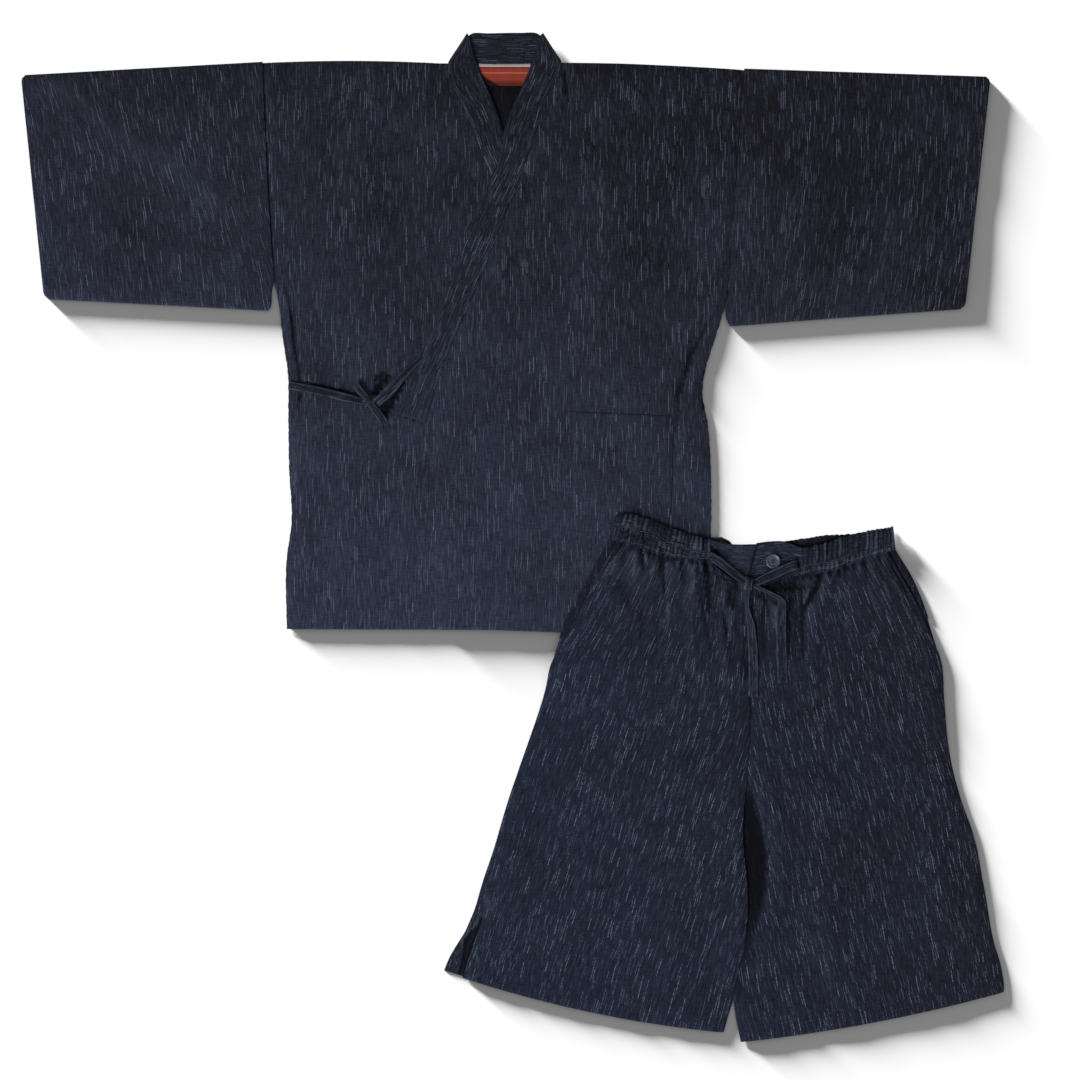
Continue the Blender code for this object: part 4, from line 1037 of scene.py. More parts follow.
shortsCreases = (
    (-60, -28, -40, -150, -5, 5, -3.6), (-76, -34, -62, -170, -6, 8, 2.4), (-40, -40, -24, -190, -4, 7, 2.8),
    (-22, -56, -16, -120, 2, 5, -2.6), (18, -56, 17, -130, 2, 6, -2.2), (54, -44, 50, -150, 4, 7, -3.6),
    (88, -34, 60, -84, -4, 3, -4), (78, -50, 70, -190, 4, 9, 3.2), (104, -182, 24, -222, 6, 8, -2),
    (60, -195, 150, -150, -8, 14, 2), (110, -30, 116, -150, 3, 7, -1.5), (146, -20, 156, -130, 3, 7, -1.4),
    (-170, -30, -150, -90, 4, 9, -2.2), (-112, -26, -118, -150, 3, 7, -1.5), (-88, -30, -84, -110, 2, 7, -1.5),
    (-60, -260, -190, -300, 12, 18, 2.4), (-40, -300, -150, -345, 8, 13, -1.4), (30, -262, 150, -330, -14, 18, 2.2),
    (-190, -360, -250, -530, 10, 22, 2.6), (-90, -420, -105, -590, -8, 22, 2.4), (-285, -330, -325, -480, 6, 14, 1.6),
    (90, -400, 120, -590, -10, 22, 2.4), (210, -340, 255, -540, 10, 22, 2.6), (160, -300, 176, -440, 8, 16, -1.4),
    (60, -560, 66, -616, 2, 14, 1.4), (-230, -520, -238, -580, 3, 14, 1.4), (-60, -470, -40, -570, 3, 12, -1.2),
)
# troughs that the band's stitches pull in: x at the band, x at its lower end, half width, depth, length
rightGathers = (
    (-166, -176, 1.6, 2.6, 20), (-158, -164, 3, 2.4, 60), (-149, -155, 1.2, 1.6, 14), (-137.5, -140, 1.6, 3.6, 22),
    (-129, -131, 1.2, 1.8, 12), (-122, -122, 1.4, 2, 16), (-113.5, -115, 1.9, 4.2, 42), (-105, -105, 1.2, 1.8, 13),
    (-97, -98, 1.5, 2.4, 20), (-86, -84, 2.6, 2.8, 34), (-77, -76, 1.3, 1.8, 13), (-69, -66, 1.5, 2.6, 24),
    (-58, -46, 3.4, 4.6, 84), (-50, -38, 1.6, 2.2, 30), (-20, -16, 2.6, 2.6, 70),
)
leftGathers = (
    (20, 17, 3.6, 2.4, 74), (38, 36, 11, 3.6, 20), (53, 50, 4.4, 4, 90), (66, 63, 1.6, 2.4, 16), (76, 73, 1.4, 2, 14),
    (87, 86, 1.8, 3.6, 18), (98, 98, 1.6, 3.2, 17), (109, 110, 1.7, 3.6, 26), (118, 120, 1.2, 1.8, 13),
    (126, 129, 1.4, 2.4, 18), (139, 142, 1.6, 3.2, 22), (149, 154, 1.2, 1.8, 13), (157, 165, 1.5, 2.4, 20),
    (167, 178, 1.5, 2, 15),
)

# where the gathers press the cloth into little folds, with painted shade in them
shortsPressed = (
    (-157.5, 17.5, -176.2, -8.8, 4, 0.55), (-153.8, 13.8, -185, -28.8, 1.9, 0.85),
    (-135.6, 17.5, -135.6, -1.2, 1.5, 0.85), (-138.8, -3.8, -136.2, -28.8, 1.9, 0.85),
    (-112.5, -5, -111.2, -33.8, 2.6, 0.95), (-111.2, -33.8, -110, -60, 1.9, 0.8),
    (-107.5, 23.8, -113.8, 6.2, 1.2, 0.7), (-60, -16.2, -55, -36.2, 3.8, 1), (-55, -36.2, -53.8, -83.8, 5.5, 0.82),
    (-45, -63.8, -42.5, -85, 3.2, 0.55), (-28.8, -48.8, -26.2, -71.2, 3.8, 0.6),
    (-37.5, -82.5, -31.2, -111.2, 2.2, 0.65), (-167.5, -43.8, -156.2, -72.5, 4.2, 0.5),
    (-138.8, -73.8, -138.8, -113.8, 3.2, 0.42), (-90, -23.8, -83.8, -48.8, 2.8, 0.5),
    (-51.2, -2.5, -42.5, -11.2, 3.2, 0.95), (-68.8, -15, -50, -21.2, 1.2, 0.9), (-61.9, 10, -61.2, -5, 1.1, 0.9),
    (-98.8, 5, -77.5, 0, 1, 0.7), (-120, -1.2, -110, -3.8, 1, 0.7), (-41.2, -40, -20, -46.2, 1.4, 0.8),
    (-126.2, 18.8, -127.5, 0, 1, 0.6), (-115, 31.2, -121.2, 16.2, 1.1, 0.6), (-100, 21.2, -102.5, 6.2, 1.2, 0.65),
    (-80, 18.8, -80, -1.2, 1.1, 0.7), (-151.2, 30, -155, 17.5, 1, 0.6), (-127.5, -3.8, -128.8, -21.2, 1.5, 0.6),
    (-100, -7.5, -87.5, -22.5, 1.6, 0.5), (-73.8, -10, -75, -26.2, 1.1, 0.6), (-165, 12.5, -170, -1.2, 1.8, 0.7),
    (12.5, -53.8, 63.8, -53.8, 4, 0.97), (28.8, -48.1, 60, -49.4, 2, 0.8), (3.8, -58.8, 17.5, -68.8, 4.4, 0.72),
    (46.2, -66.2, 46.2, -136.2, 2.2, 0.85), (62.5, -73.8, 63.8, -138.8, 2.2, 0.85),
    (53.8, -58.8, 55, -141.2, 9.4, 0.5), (61.2, -50, 61.2, -76.2, 1.8, 0.9), (83.8, -40, 80, -56.2, 2.5, 0.95),
    (80, -56.2, 61.2, -85, 1.9, 0.97), (116.2, -21.2, 115, -35, 2, 0.85), (115, -33.8, 117.5, -47.5, 3.2, 0.5),
    (141.2, -18.8, 142.5, -40, 1.2, 0.85), (154.4, -18.8, 155, -28.8, 1.2, 0.75), (0, -66.2, 0, -90, 2.5, 0.97),
    (1.2, -90, 8.8, -121.2, 3.8, 0.6), (12.5, -83.8, 15, -137.5, 3.8, 0.48), (22.5, -66.2, 33.8, -76.2, 2.8, 0.55),
    (56.2, -15, 60, -36.2, 2.5, 0.9), (35, -20.6, 55, -21.2, 1.1, 0.75), (93.8, 3.8, 92.5, -21.2, 1.1, 0.75),
    (6.2, 2.5, -5, -38.8, 1.6, 0.85), (70, -18.8, 70, -37.5, 1, 0.6), (78.8, -1.2, 78.8, -18.8, 1, 0.6),
    (107.5, 0, 107.5, -18.8, 1, 0.5), (132.5, 8.8, 135, -13.8, 1, 0.5), (160, 11.2, 161.2, -3.8, 1.1, 0.6),
    (171.2, -18.8, 192.5, -58.8, 1.4, 0.85), (-1.9, -192.5, -1.2, -217.5, 1.8, 0.85),
    (157.5, -22.5, 165, -43.8, 2.5, 0.4), (105, -36.2, 100, -50, 2, 0.6), (0, -250, 23.8, -251.9, 1, 0.6),
    (-1.9, -217.5, -2.5, -250, 1, 0.4), (-6.2, -286.2, -6.9, -301.2, 1.2, 0.5),
    (1.2, -453.8, -2.5, -486.2, 5.2, 0.42), (-2.5, -486.2, -12.5, -533.8, 6, 0.5),
    (-12.5, -533.8, -21.2, -576.2, 4.8, 0.45), (-27.5, -70, -10, -73.8, 9.4, 0.42),
    (1.2, -57.5, 13.8, -58.8, 7.5, 0.4), (5, -83.8, 13.8, -118.8, 7.5, 0.22), (-12.5, -81.2, -10.6, -98.8, 3.2, 0.6),
    (-10, -113.8, -8.1, -183.8, 2, 0.5), (7.5, -111.2, 9.4, -163.8, 1.8, 0.4),
    (-47.5, -26.2, -43.8, -118.8, 5.8, 0.45), (137.5, -166.2, 92.5, -193.8, 6.9, 0.22),
    (92.5, -193.8, 60, -213.8, 5.6, 0.18), (-68.8, -28.8, -67.5, -58.8, 4.5, 0.3),
    (-66.2, -53.8, -62.5, -83.8, 3.8, 0.22), (58.8, -28.8, 56.2, -73.8, 6.2, 0.25),
    (83.1, -38.8, 80.6, -51.2, 4, 0.95), (80.6, -51.2, 64.4, -77.5, 3.9, 1), (64.4, -77.5, 61.9, -98.8, 3.1, 0.85),
)

# and where painted highlights lighten its ridges
shortsPaintedHighlights = (
    (-330.6, -442.5, -329.4, -457.5, 6.2, 0.3), (70.6, -55, 64.4, -73.8, 1.6, 0.9),
    (-145.6, -8.8, -149.4, -38.8, 2.1, 0.6), (-133.8, -10, -133.1, -22.5, 2, 0.6),
    (-123.1, -26.2, -127.5, -35, 1.8, 0.7), (-104.4, -21.2, -100, -30, 2.5, 0.5), (-28.8, -85, -28.1, -118.8, 2, 0.5),
    (37.5, -85, 37.5, -131.2, 3, 0.3), (-179.4, 17.5, -186.2, -3.8, 3.2, 0.5), (107.5, -50, 110, -68.8, 1.5, 0.5),
    (87.5, -42.5, 88.8, -68.8, 1.8, 0.4), (163.8, -43.8, 172.5, -68.8, 1.9, 0.4),
    (-105, -71.2, -105, -96.2, 1.9, 0.4), (-72.5, -33.8, -73.8, -58.8, 1.9, 0.45), (-45, -18.8, -30, -30, 2, 0.4),
    (145, -50, 153.8, -81.2, 1.8, 0.4),
)


def shortsPaintedShading(x, y):
    # painted shade in the folds, less painted highlight on the ridges
    return pressed(shortsPressed, x, y) - pressed(shortsPaintedHighlights, x, y)


def bandFoot(x):
    # where the band's lower edge lies
    at = (-175, -111, -52, -28, 0, 25, 62, 104, 140, 179)
    return np.interp(x, at, (7, -13, -20, -36, -44, -43, -38, -30, -18, -5))


def gatherShape(gathers, x, y):
    # height between the troughs, and the painted shade deep in each one, with painted highlight beside it
    below = bandFoot(x) + 3 - y
    rise = 2.6 * (1 - ease(4, 62, below))
    deep = np.zeros(np.broadcast(x, y).shape)
    for top, foot, half, depth, reach in gathers:
        down = np.clip(below / reach, 0, 1)
        wide = half * (1 + 1.4 * down)
        off = np.abs(x - (top + (foot - top) * down))
        fade = 1 - ease(0.15, 1, below / reach)
        into = np.exp(-((off / wide) ** 1.5)) * fade
        beside = fade * np.exp(-(((off - 2.6 * wide) / (1.5 * wide)) ** 2))
        rise = rise - depth * into + 0.4 * depth * beside
        strength = np.clip(depth / 4.4, 0, 1)
        shaded = 0.85 * into * strength * np.exp(-((off / (0.8 * wide)) ** 2))
        deep = np.where(into > 0.1, np.maximum(deep, shaded), deep)
        deep = np.where(deep < 0.1, deep - 0.35 * strength * beside, deep)
    return rise, deep * ease(-6, 2, below)


def valleyEdge(y):
    # where the left leg sinks under the right one
    return np.interp(-y, (270, 295, 327, 356, 392, 427, 474, 502, 530), (-6, -2, 4, 12, 19, 16.5, 6.5, -2, -14))


def legLoft(x, y, across, width, seed):
    air = shorts["loft"] * (1.2 + 0.4 * ripple(x, y, 130, seed) + 0.24 * ripple(x, y, 44, seed + 1))
    air = air + creaseRise(shortsCreases, x, y) - 1.5 * pressed(shortsPressed, x, y)
    return np.maximum(0, air) * sewnDown(across, width, 13) * ease(-4, 26, bandFoot(x) - y)


def legWidth(run):
    return 170 + np.clip(run, 0, 620) * 0.3


def gatherRise(gathers, x, y, fromSide):
    rise, _ = gatherShape(gathers, x, y)
    return np.maximum(rise, -0.8) * ease(0, 12, fromSide) * ease(-1, 7, bandFoot(x) - y)


def rightLegHeight(x, y, across, run):
    width = legWidth(run)
    z = shortsFrontBase(x, y) + face + legLoft(x, y, across, width, 83) + gatherRise(rightGathers, x, y, across * width)
    # its inner edge stands up over the other leg
    along = ease(270, 335, -y) * (1 - ease(430, 545, -y))
    return z + 2.8 * along * np.exp(-((((1 - across) * width) / 22) ** 2))


def leftLegHeight(x, y, across, run):
    width = legWidth(run)
    sunk = ease(262, 300, -y) * (1 - ease(500, 560, -y))
    past = x - valleyEdge(y)
    lifted = 1 - sunk * (1 - ease(-4, 12, past))
    ridge = 2.6 * sunk * np.exp(-(((past - 20) / 14) ** 2))
    over = 0.9 * (1 - ease(235, 285, -y)) * ease(0, 10, bandFoot(x) - y)
    loft = legLoft(x, y, across, width, 85) * lifted
    return shortsFrontBase(x, y) + face + loft + ridge + over + gatherRise(leftGathers, x, y, (1 - across) * width)


def rightLegPaintedShade(x, y, across, run):
    # painted shade in the gathers, along the fly and under the knot
    _, deep = gatherShape(rightGathers, x, y)
    fly = 0.7 * ease(-9, -2.5, x) * ease(40, 60, -y) * (1 - 0.55 * ease(178, 215, -y)) * (1 - ease(250, 285, -y))
    knotShade = 0.75 * np.exp(-(((x + 4) / 9) ** 2)) * ease(48, 60, -y) * (1 - ease(75, 110, -y))
    return strongest(deep, fly, knotShade, shortsPaintedShading(x, y))


def leftLegPaintedShade(x, y, across, run):
    # painted shade in the gathers, in the valley under the other leg's edge, under the knot and along one crease
    _, deep = gatherShape(leftGathers, x, y)
    sunk = ease(285, 325, -y) * (1 - 0.3 * ease(440, 500, -y)) * (1 - ease(505, 565, -y))
    valley = 0.92 * sunk * (1 - ease(-3, 5, x - valleyEdge(y)))
    knotShade = 0.8 * np.exp(-(((x - 34) / 22) ** 2) - (((y + 52) / 11) ** 2))
    line = creaseRise(((104, -182, 24, -222, 6, 7, 0.35),), x, y)
    return strongest(deep, valley, knotShade, line, shortsPaintedShading(x, y))


def slitPaintedShade(x, y, across, run):
    # painted shade of the slit on the back panel, between its turned edge and the front panel, and a painted highlight
    # along the turned edge
    down = (464, 475, 482, 493, 505, 519, 533)
    turned = np.interp(-y, down, (-340, -342.5, -351.4, -359.8, -360.9, -363.2, -366.9))
    front = np.interp(-y, down, (-338, -340, -342.5, -346, -350, -355, -359.8))
    share = np.clip((x - turned) / np.maximum(front - turned, 1), 0, 1)
    on = ease(-1.2, 0.6, x - turned) * ease(462, 467, -y) * (x < -250)
    paintedLight = 0.7 * np.exp(-(((x - turned + 2.2) / 1.4) ** 2)) * ease(464, 470, -y) * (1 - ease(494, 508, -y))
    return on * (0.72 + 0.26 * np.abs(2 * share - 1) ** 1.5) - paintedLight * (1 - on)


def legGrain(lean, across0, where):
    # threads run straight down the leg at a slant, and fan in to the gathers
    cosine, sine = math.cos(math.radians(lean)), math.sin(math.radians(lean))

    def grain(x, y, across, run):
        gathered = (across - across0) * 255 + (160 * sine)
        straight = x * cosine - y * sine
        return gathered + (straight - gathered) * ease(10, 330, run) + where, run

    return grain


def legBackHeight(x, y, across, run):
    return shortsBase(x, y) + 0.9


def layLegBack(side, start, rows, **how):
    # start: the share across where the threads come together
    grain = legGrain(shorts["lean"][side], start, 640)
    how = dict(shorts["back"], grain=grain, under=kasuriShorts, **how)
    back = layPanel(f"shorts_back_{side}_cloth", rows, legBackHeight, waist, kasuriInner, **how)
    enrol(back["piece"], f"shorts_back_{side}")


def layLegFront(side, start, where, rows, height, fold):
    how = dict(shorts["front"], grain=legGrain(shorts["lean"][side], start, where), fold=fold)
    front = layPanel(f"shorts_front_{side}_cloth", rows, height, waist, kasuriShorts, **how)
    enrol(front["piece"], f"shorts_front_{side}")
    return front


layLegBack("right", 1, backRightRows, fine=shorts["slitFine"], fold=slitPaintedShade)
layLegBack("left", 0, backLeftRows)
rightLeg = layLegFront("right", 1, 0, frontRightRows, rightLegHeight, rightLegPaintedShade)
leftLeg = layLegFront("left", 0, 1300, frontLeftRows, leftLegHeight, leftLegPaintedShade)
print("legs laid")

pocketSideRight = (
    (-172, 17, -162, 17), (-180, 4, -170.2, 4), (-207, -44, -197.8, -44), (-221, -70, -211, -70),
    (-235, -96, -223.3, -96), (-241, -116, -235, -116),
)
pocketSideLeft = (
    (169, 0, 176, 0), (174.8, -14, 184.5, -14), (189.7, -39, 199, -39), (207.3, -69, 213, -69),
    (218.3, -92, 221, -92),
)


def pocketSideHeight(x, y, across, run):
    return shortsBase(x, y) + layer + face


for side, rows in (("right", pocketSideRight), ("left", pocketSideLeft)):
    # painted shade on the cloth inside the side pockets, deeper in the folds
    shaded = {"grain": lambda x, y, a, r: (x + 900, y), "fold": lambda x, y, a, r: 0.35 + pressed(shortsPressed, x, y)}
    sideNet = layPanel(f"pocket_side_{side}_cloth", rows, pocketSideHeight, waist, kasuriShorts, cell=1.6, **shaded)
    enrol(sideNet["piece"], f"pocket_side_{side}")

# waistband

bandRightRows = (
    (-175, 7, -170.5, 39), (-158, 2, -149, 38), (-139, -4, -128, 31.8), (-116, -11.5, -106, 23.5),
    (-92, -15.5, -85, 15.2), (-70, -18, -65, 9.6), (-50, -21.5, -48, 6), (-28, -36, -27, 1.4), (-2.6, -44, 6, 1.2),
)
bandLeftRows = (
    (-4, -44.5, 5, 2.4), (12, -43.5, 15, 4), (25, -43, 27.5, 5), (38, -41, 39.5, 4.6), (48.5, -39, 49.5, 1.4),
    (60, -37, 60, -2.4), (72, -35, 73, -1.6), (84, -33.5, 86, 1.2), (97, -31.5, 98, 5.2), (108, -28.5, 110, 9.8),
    (129, -20.5, 131, 15.2), (154, -12.5, 156, 19.6), (179, -5, 176, 23),
)
bandBackRows = (
    (-174, 8, -169.5, 37.5), (-139, -4, -128, 30), (-100, -14, -94, 17), (-70, -18, -66, 9), (-52, -20, -48, 9.8),
    (-38, -26, -36, 9), (-30, -28, -28.5, 5), (-26, -29, -24.5, 1), (-8, -31, -7, 0.6), (2, -31, 2.5, 1),
    (30, -30, 31, 3.8), (44, -28.5, 45, 5.6), (62, -26, 64, 8.2), (92, -20, 94, 12.6), (110, -17, 112, 13.2),
    (122, -14, 124, 14), (178, -3, 174.5, 23),
)
waistband = {
    "pucker": 5.8,  # mm from one pucker to the next
    "puff": 3.1,
    # x, and how far up the band its upper stitches lie there, as a share
    "rowRight": ((-172, -128, -104, -85, -65, -50), (0.6, 0.5, 0.46, 0.44, 0.4, 0.36)),
    "rowLeft": ((62, 86, 104, 131, 156, 178), (0.3, 0.32, 0.3, 0.27, 0.24, 0.22)),
    "lowRow": 0.08,
}


def makePuckers(seed, many=60):
    # uneven upright ridges: where each starts, how high it is and how it leans
    dice = np.random.default_rng(seed)
    edges = np.cumsum(waistband["pucker"] * dice.uniform(0.6, 1.45, many)) - 2 * waistband["pucker"]
    return edges, dice.uniform(0.35, 1, many), dice.uniform(-2.2, 2.2, many)


def pucker(ridges, along, across):
    # 1 on a ridge, 0 in a valley
    edges, lifts, leans = ridges
    bent = np.interp(along, edges, leans)
    spot = along + bent * (across - 0.45) + 0.5 * np.sin(across * 9 + along * 0.21)
    cell = np.clip(np.searchsorted(edges, spot) - 1, 0, len(edges) - 2)
    share = np.clip((spot - edges[cell]) / (edges[cell + 1] - edges[cell]), 0, 1)
    return lifts[cell] * np.sin(math.pi * share) ** 0.55


def valleyShade(ridge):
    return np.clip(1 - 1.5 * ridge, 0, 1)


def gatheredBand(rowTable, gatheredAt, seed):
    upperRidges, lowerRidges = makePuckers(seed), makePuckers(seed + 1)

    def shape(x, across, run):
        row = np.interp(x, *rowTable)
        upper = np.clip((across - row) / (1 - row), 0, 1)
        lower = np.clip((across - waistband["lowRow"]) / (row - waistband["lowRow"]), 0, 1)
        dome = np.where(across > row, np.sin(math.pi * np.minimum(upper * 0.86, 1)), np.sin(math.pi * lower)) ** 0.6
        blend = ease(-0.14, 0.14, across - row)
        return dome, pucker(upperRidges, run, across) * blend + pucker(lowerRidges, run, across) * (1 - blend)

    def height(x, y, across, run):
        gathered = gatheredAt(x)
        dome, ridge = shape(x, across, run)
        puff = waistband["puff"] * (0.25 + 0.75 * dome) * (0.12 + ridge) - 1.3 * ease(0.75, 1, across)
        puff = np.maximum(-1.2, puff - 2 * pressed(shortsPressed, x, y))
        flat = 0.55 * ease(0, 0.1, across) * ease(0, 0.06, 1 - across) + 0.2 * ripple(run, across * 40, 26, seed)
        return shortsBase(x, y) + 3 * layer + 1 + gathered * puff + (1 - gathered) * (flat + 0.4)

    def shift(x, y, across, run):
        _, ridge = shape(x, across, run)
        up = 2 * (ridge - 0.5) * ease(0.72, 1, across) - 2.2 * (ridge - 0.4) * (1 - ease(0, 0.2, across))
        return 0, gatheredAt(x) * up

    def fold(x, y, across, run):
        # painted shade in the puckers' valleys and along the stitched rows, and painted highlight on the ridges
        dome, ridge = shape(x, across, run)
        shaded = np.maximum(0.9 * valleyShade(ridge), 0.3 * (1 - dome) ** 2) - 0.45 * ease(0.55, 0.95, ridge)
        bow = 0.55 * np.exp(-(((x - 40) / 16) ** 2) - (((y + 34) / 9) ** 2))  # painted shade where it dips behind the bow
        return strongest(gatheredAt(x) * shaded, pressed(shortsPressed, x, y), bow)

    return {"height": height, "shift": shift, "fold": fold, "cell": 1.5, "runCell": 0.95}


backRidges = makePuckers(99)


def backBandHeight(x, y, across, run):
    ridge = pucker(backRidges, run, across)
    return shortsBase(x, y) + layer + face + 1.5 * ridge * np.sin(math.pi * np.clip(across * 0.9, 0, 1)) ** 0.5


def backBandShift(x, y, across, run):
    soft = 1 - ease(-34, -26, x) * (1 - ease(2, 14, x))
    return 0, 1.6 * (pucker(backRidges, run, across) - 0.5) * ease(0.7, 1, across) * soft


def backBandPaintedShade(x, y, across, run):
    # painted shade in its puckers' valleys, over its part past x 34 mm, and close behind the front band's dip
    front = np.interp(x, (27, 40, 50, 60, 73, 86, 98, 110), (5, 4.6, 1.4, -2.4, -1.6, 1.2, 5.2, 9.8))
    behind = ease(25, 40, x) * (1 - ease(1.5, 5.5, y - front))
    return np.maximum(0.7 * valleyShade(pucker(backRidges, run, across)), behind) + 0.25 * ease(20, 34, x)


def layWaistband(side, rows, where, cut, restsOn, material=kasuriBand, slot="band", **how):
    def grain(x, y, across, run):
        return across * 40 + where[0], run * 1.7 + where[1]

    band = layPanel(f"waistband_{side}_cloth", rows, origin=waist, material=material, grain=grain, **how)
    enrol(band["piece"], f"waistband_{side}")
    return band


rightHow = gatheredBand(waistband["rowRight"], lambda x: 1 - ease(-58, -44, x), 91)
leftHow = gatheredBand(waistband["rowLeft"], lambda x: ease(56, 68, x), 95)
backHow = {"height": backBandHeight, "shift": backBandShift, "fold": backBandPaintedShade, "cell": 1.6, "runCell": 1.2,
           "material": kasuriInner, "slot": "inside"}
rightWaist = layWaistband("right", bandRightRows, (0, 2100), (235, 36), ("shorts_front_right",), **rightHow)
leftWaist = layWaistband("left", bandLeftRows, (300, 2600), (235, 40), ("shorts_front_left",), **leftHow)
layWaistband("back", bandBackRows, (0, 2100), (420, 36), ("shorts_back_right", "shorts_back_left"), **backHow)
print("waistband laid")

# drawstring and button


def onWaistband(x, y):
    return shortsBase(x, y) + 3 * layer + 2


def onLegs(x, y):
    # the highest cloth under a strap's width, or the band where the strap hangs over it
    found = []
    for aside in (-5.5, -2.5, 0, 2.5, 5.5):
        at = x + aside
        left = leftLegHeight(at, y, np.clip((at + 3) / 240, 0, 1), -y - 28)
        right = rightLegHeight(at, y, 1 - np.clip(-at / 240, 0, 1), -y - 28)
        found.append(np.maximum(np.where(at > -4, left, 0), right))
    return np.maximum(np.maximum.reduce(found) - 0.9, onWaistband(x, y) * ease(-3, 3, y - bandFoot(x)))


drawstringLoops = (
    # its name, what it stands for, its length and width as cut, seed, what it rests on, and its stops
    ("drawstring_loop_right_cloth", "drawstring_loops", (112, 12), 7, "waistband_right", (
        (-8, -46.5, 3.4, 8, 0), (-20, -38, 3.9, 10.5, 14), (-34, -27, 4.2, 11, 10), (-47, -17.5, 4.6, 11.5, 0),
        (-53.5, -14.5, 3.4, 11.5, 0), (-55.5, -15.5, 1.7, 11.5, 0), (-51, -21.5, 0.5, 11.5, 0),
        (-40, -31, 0.4, 11, 0), (-26, -41.5, 0.6, 10, 0), (-10, -48.5, 1.4, 8, 0),
    )),
    ("drawstring_loop_left_cloth", "drawstring_loops", (122, 12), 8, "waistband_left", (
        (1, -47.5, 3.4, 8, 0), (12, -43, 4.4, 10.5, -14), (28, -35.5, 4.9, 12, -10), (44, -28.5, 4.4, 12, 0),
        (53.5, -25, 3.2, 12, 0), (56, -24.8, 1.7, 12, 0), (51, -28.5, 0.4, 12, 0), (36, -36, 0.3, 11.5, 0),
        (17, -45, 0.5, 10, 0), (3, -49, 1.2, 8, 0),
    )),
)
drawstringEnds = (
    ("drawstring_end_right_cloth", "drawstring_end_right", (141, 12.5), 9, "shorts_front_right", (
        (-6, -50, 2.8, 7.5, 0), (-6.8, -62, 2.4, 6.5, 14), (-6.6, -74, 2, 6, 24), (-5, -86, 1.8, 7.2, 18),
        (-1.8, -99, 1.5, 9.8, 8), (-0.6, -114, 1.4, 11.2, 0), (0.8, -131, 1.3, 12, 0), (1.4, -158, 1.2, 12.5, 0),
        (1.2, -189, 1, 12.5, 0),
    )),
    ("drawstring_end_left_cloth", "drawstring_end_left", (138, 13), 10, "shorts_front_left", (
        (2, -50.5, 3, 5.5, 0), (13, -55.5, 2.2, 4.6, 22), (25, -61, 1.6, 4.6, 26), (33.5, -66, 1.4, 6, 18),
        (36.6, -71.5, 1.3, 9.5, 6), (36, -80, 1.2, 12.5, 0), (35.6, -94, 1.1, 13.5, 0), (36.4, -125, 1, 13.5, 0),
        (38, -172, 0.8, 13, 0),
    )),
)
drawstringKnot = (
    # its name, its length and width as cut, middle, height, turn in degrees, span, rise, width, seed, lean
    ("drawstring_knot_over", (24, 11), (-5, -47.5), 0.8, 82, 14.5, 6.6, 11, 2, 8),
    ("drawstring_knot_under", (22, 10), (-4.5, -49), 0.2, 20, 16, 5, 9.5, 12, -8),
)


def layCords(table, **how):
    for name, node, cut, seed, below, stops in table:
        enrol(ribbon(name, stops, waist, seed=seed, **how), node)


def layDrawstring():
    layCords(drawstringLoops, under=onWaistband, thickness=1, step=1.5)
    low = float(onWaistband(np.array(-5), np.array(-46)))
    for name, cut, middle, lift, turn, span, rise, width, seed, lean in drawstringKnot:
        piece = archOver(name, (*middle, low + lift), turn, span, rise, width, waist, seed, lean)
        enrol(piece, "drawstring_knot")
    layCords(drawstringEnds, under=onLegs, thickness=1.2)


layDrawstring()

button = {
    "spot": (26, -20),
    "turn": 0.12,  # radians that it is turned on its thread
    "holeRadius": 0.95,
    "holeSpread": 1.95,
    "corners": 56,
    # radii and heights, from its face round to its underside
    "radii": (5, 6.2, 7, 7.7, 8.3, 8.8, 9, 8.8, 8, 6.5),
    "heights": (1.55, 1.75, 2.35, 2.6, 2.55, 2.15, 1.5, 0.7, 0.15, 0),
}
buttonX, buttonY = button["spot"][0] + waist[0], button["spot"][1] + waist[1]
buttonBase = float(onWaistband(*map(np.array, button["spot"]))) + 0.35


def makeButton():
    corners = button["corners"]
    maker = bmesh.new()
    rings = []
    for radius, height in zip(button["radii"], button["heights"]):
        turns = np.arange(corners) / corners * math.tau
        spots = [(buttonX + radius * math.cos(a), buttonY + radius * math.sin(a), buttonBase + height) for a in turns]
        rings.append([maker.verts.new((x * mm, y * mm, z * mm)) for x, y, z in spots])
    for first, second in zip(rings, rings[1:]):
        for corner in range(corners):
            after = (corner + 1) % corners
            maker.faces.new((first[corner], second[corner], second[after], first[after]))
    maker.faces.new(rings[0])
    maker.faces.new(rings[-1][::-1])
    bmesh.ops.recalc_face_normals(maker, faces=maker.faces)
    mesh = bpy.data.meshes.new("button_disc")
    maker.to_mesh(mesh)
    maker.free()
    disc = newPiece("button_disc", mesh, buttonResin)
    tools = []
    for number in range(4):
        turn = math.pi * (0.25 + 0.5 * number) + button["turn"]
        holeX = buttonX + button["holeSpread"] * math.cos(turn)
        holeY = buttonY + button["holeSpread"] * math.sin(turn)
        where, radius = (holeX * mm, holeY * mm, buttonBase * mm), button["holeRadius"] * mm
        bpy.ops.mesh.primitive_cylinder_add(vertices=20, radius=radius, depth=12 * mm, location=where)
        tools.append(bpy.context.active_object)
        cut = disc.modifiers.new("hole", "BOOLEAN")
        cut.operation = "DIFFERENCE"
        cut.object = tools[-1]
    # keep what the cuts make
    bored = bpy.data.meshes.new_from_object(disc.evaluated_get(bpy.context.evaluated_depsgraph_get()))
    disc.modifiers.clear()
    disc.data = bored
    for tool in tools:
        bpy.data.objects.remove(tool)
    return disc


enrol(makeButton(), "button")
print("drawstring and button made")

# stitches


def straightRow(net, start, end, into, origin, **how):
    # start and end: share across and length along
    sewOn(net, np.linspace(start[0], end[0], 60), np.linspace(start[1], end[1], 60), into, origin, **how)


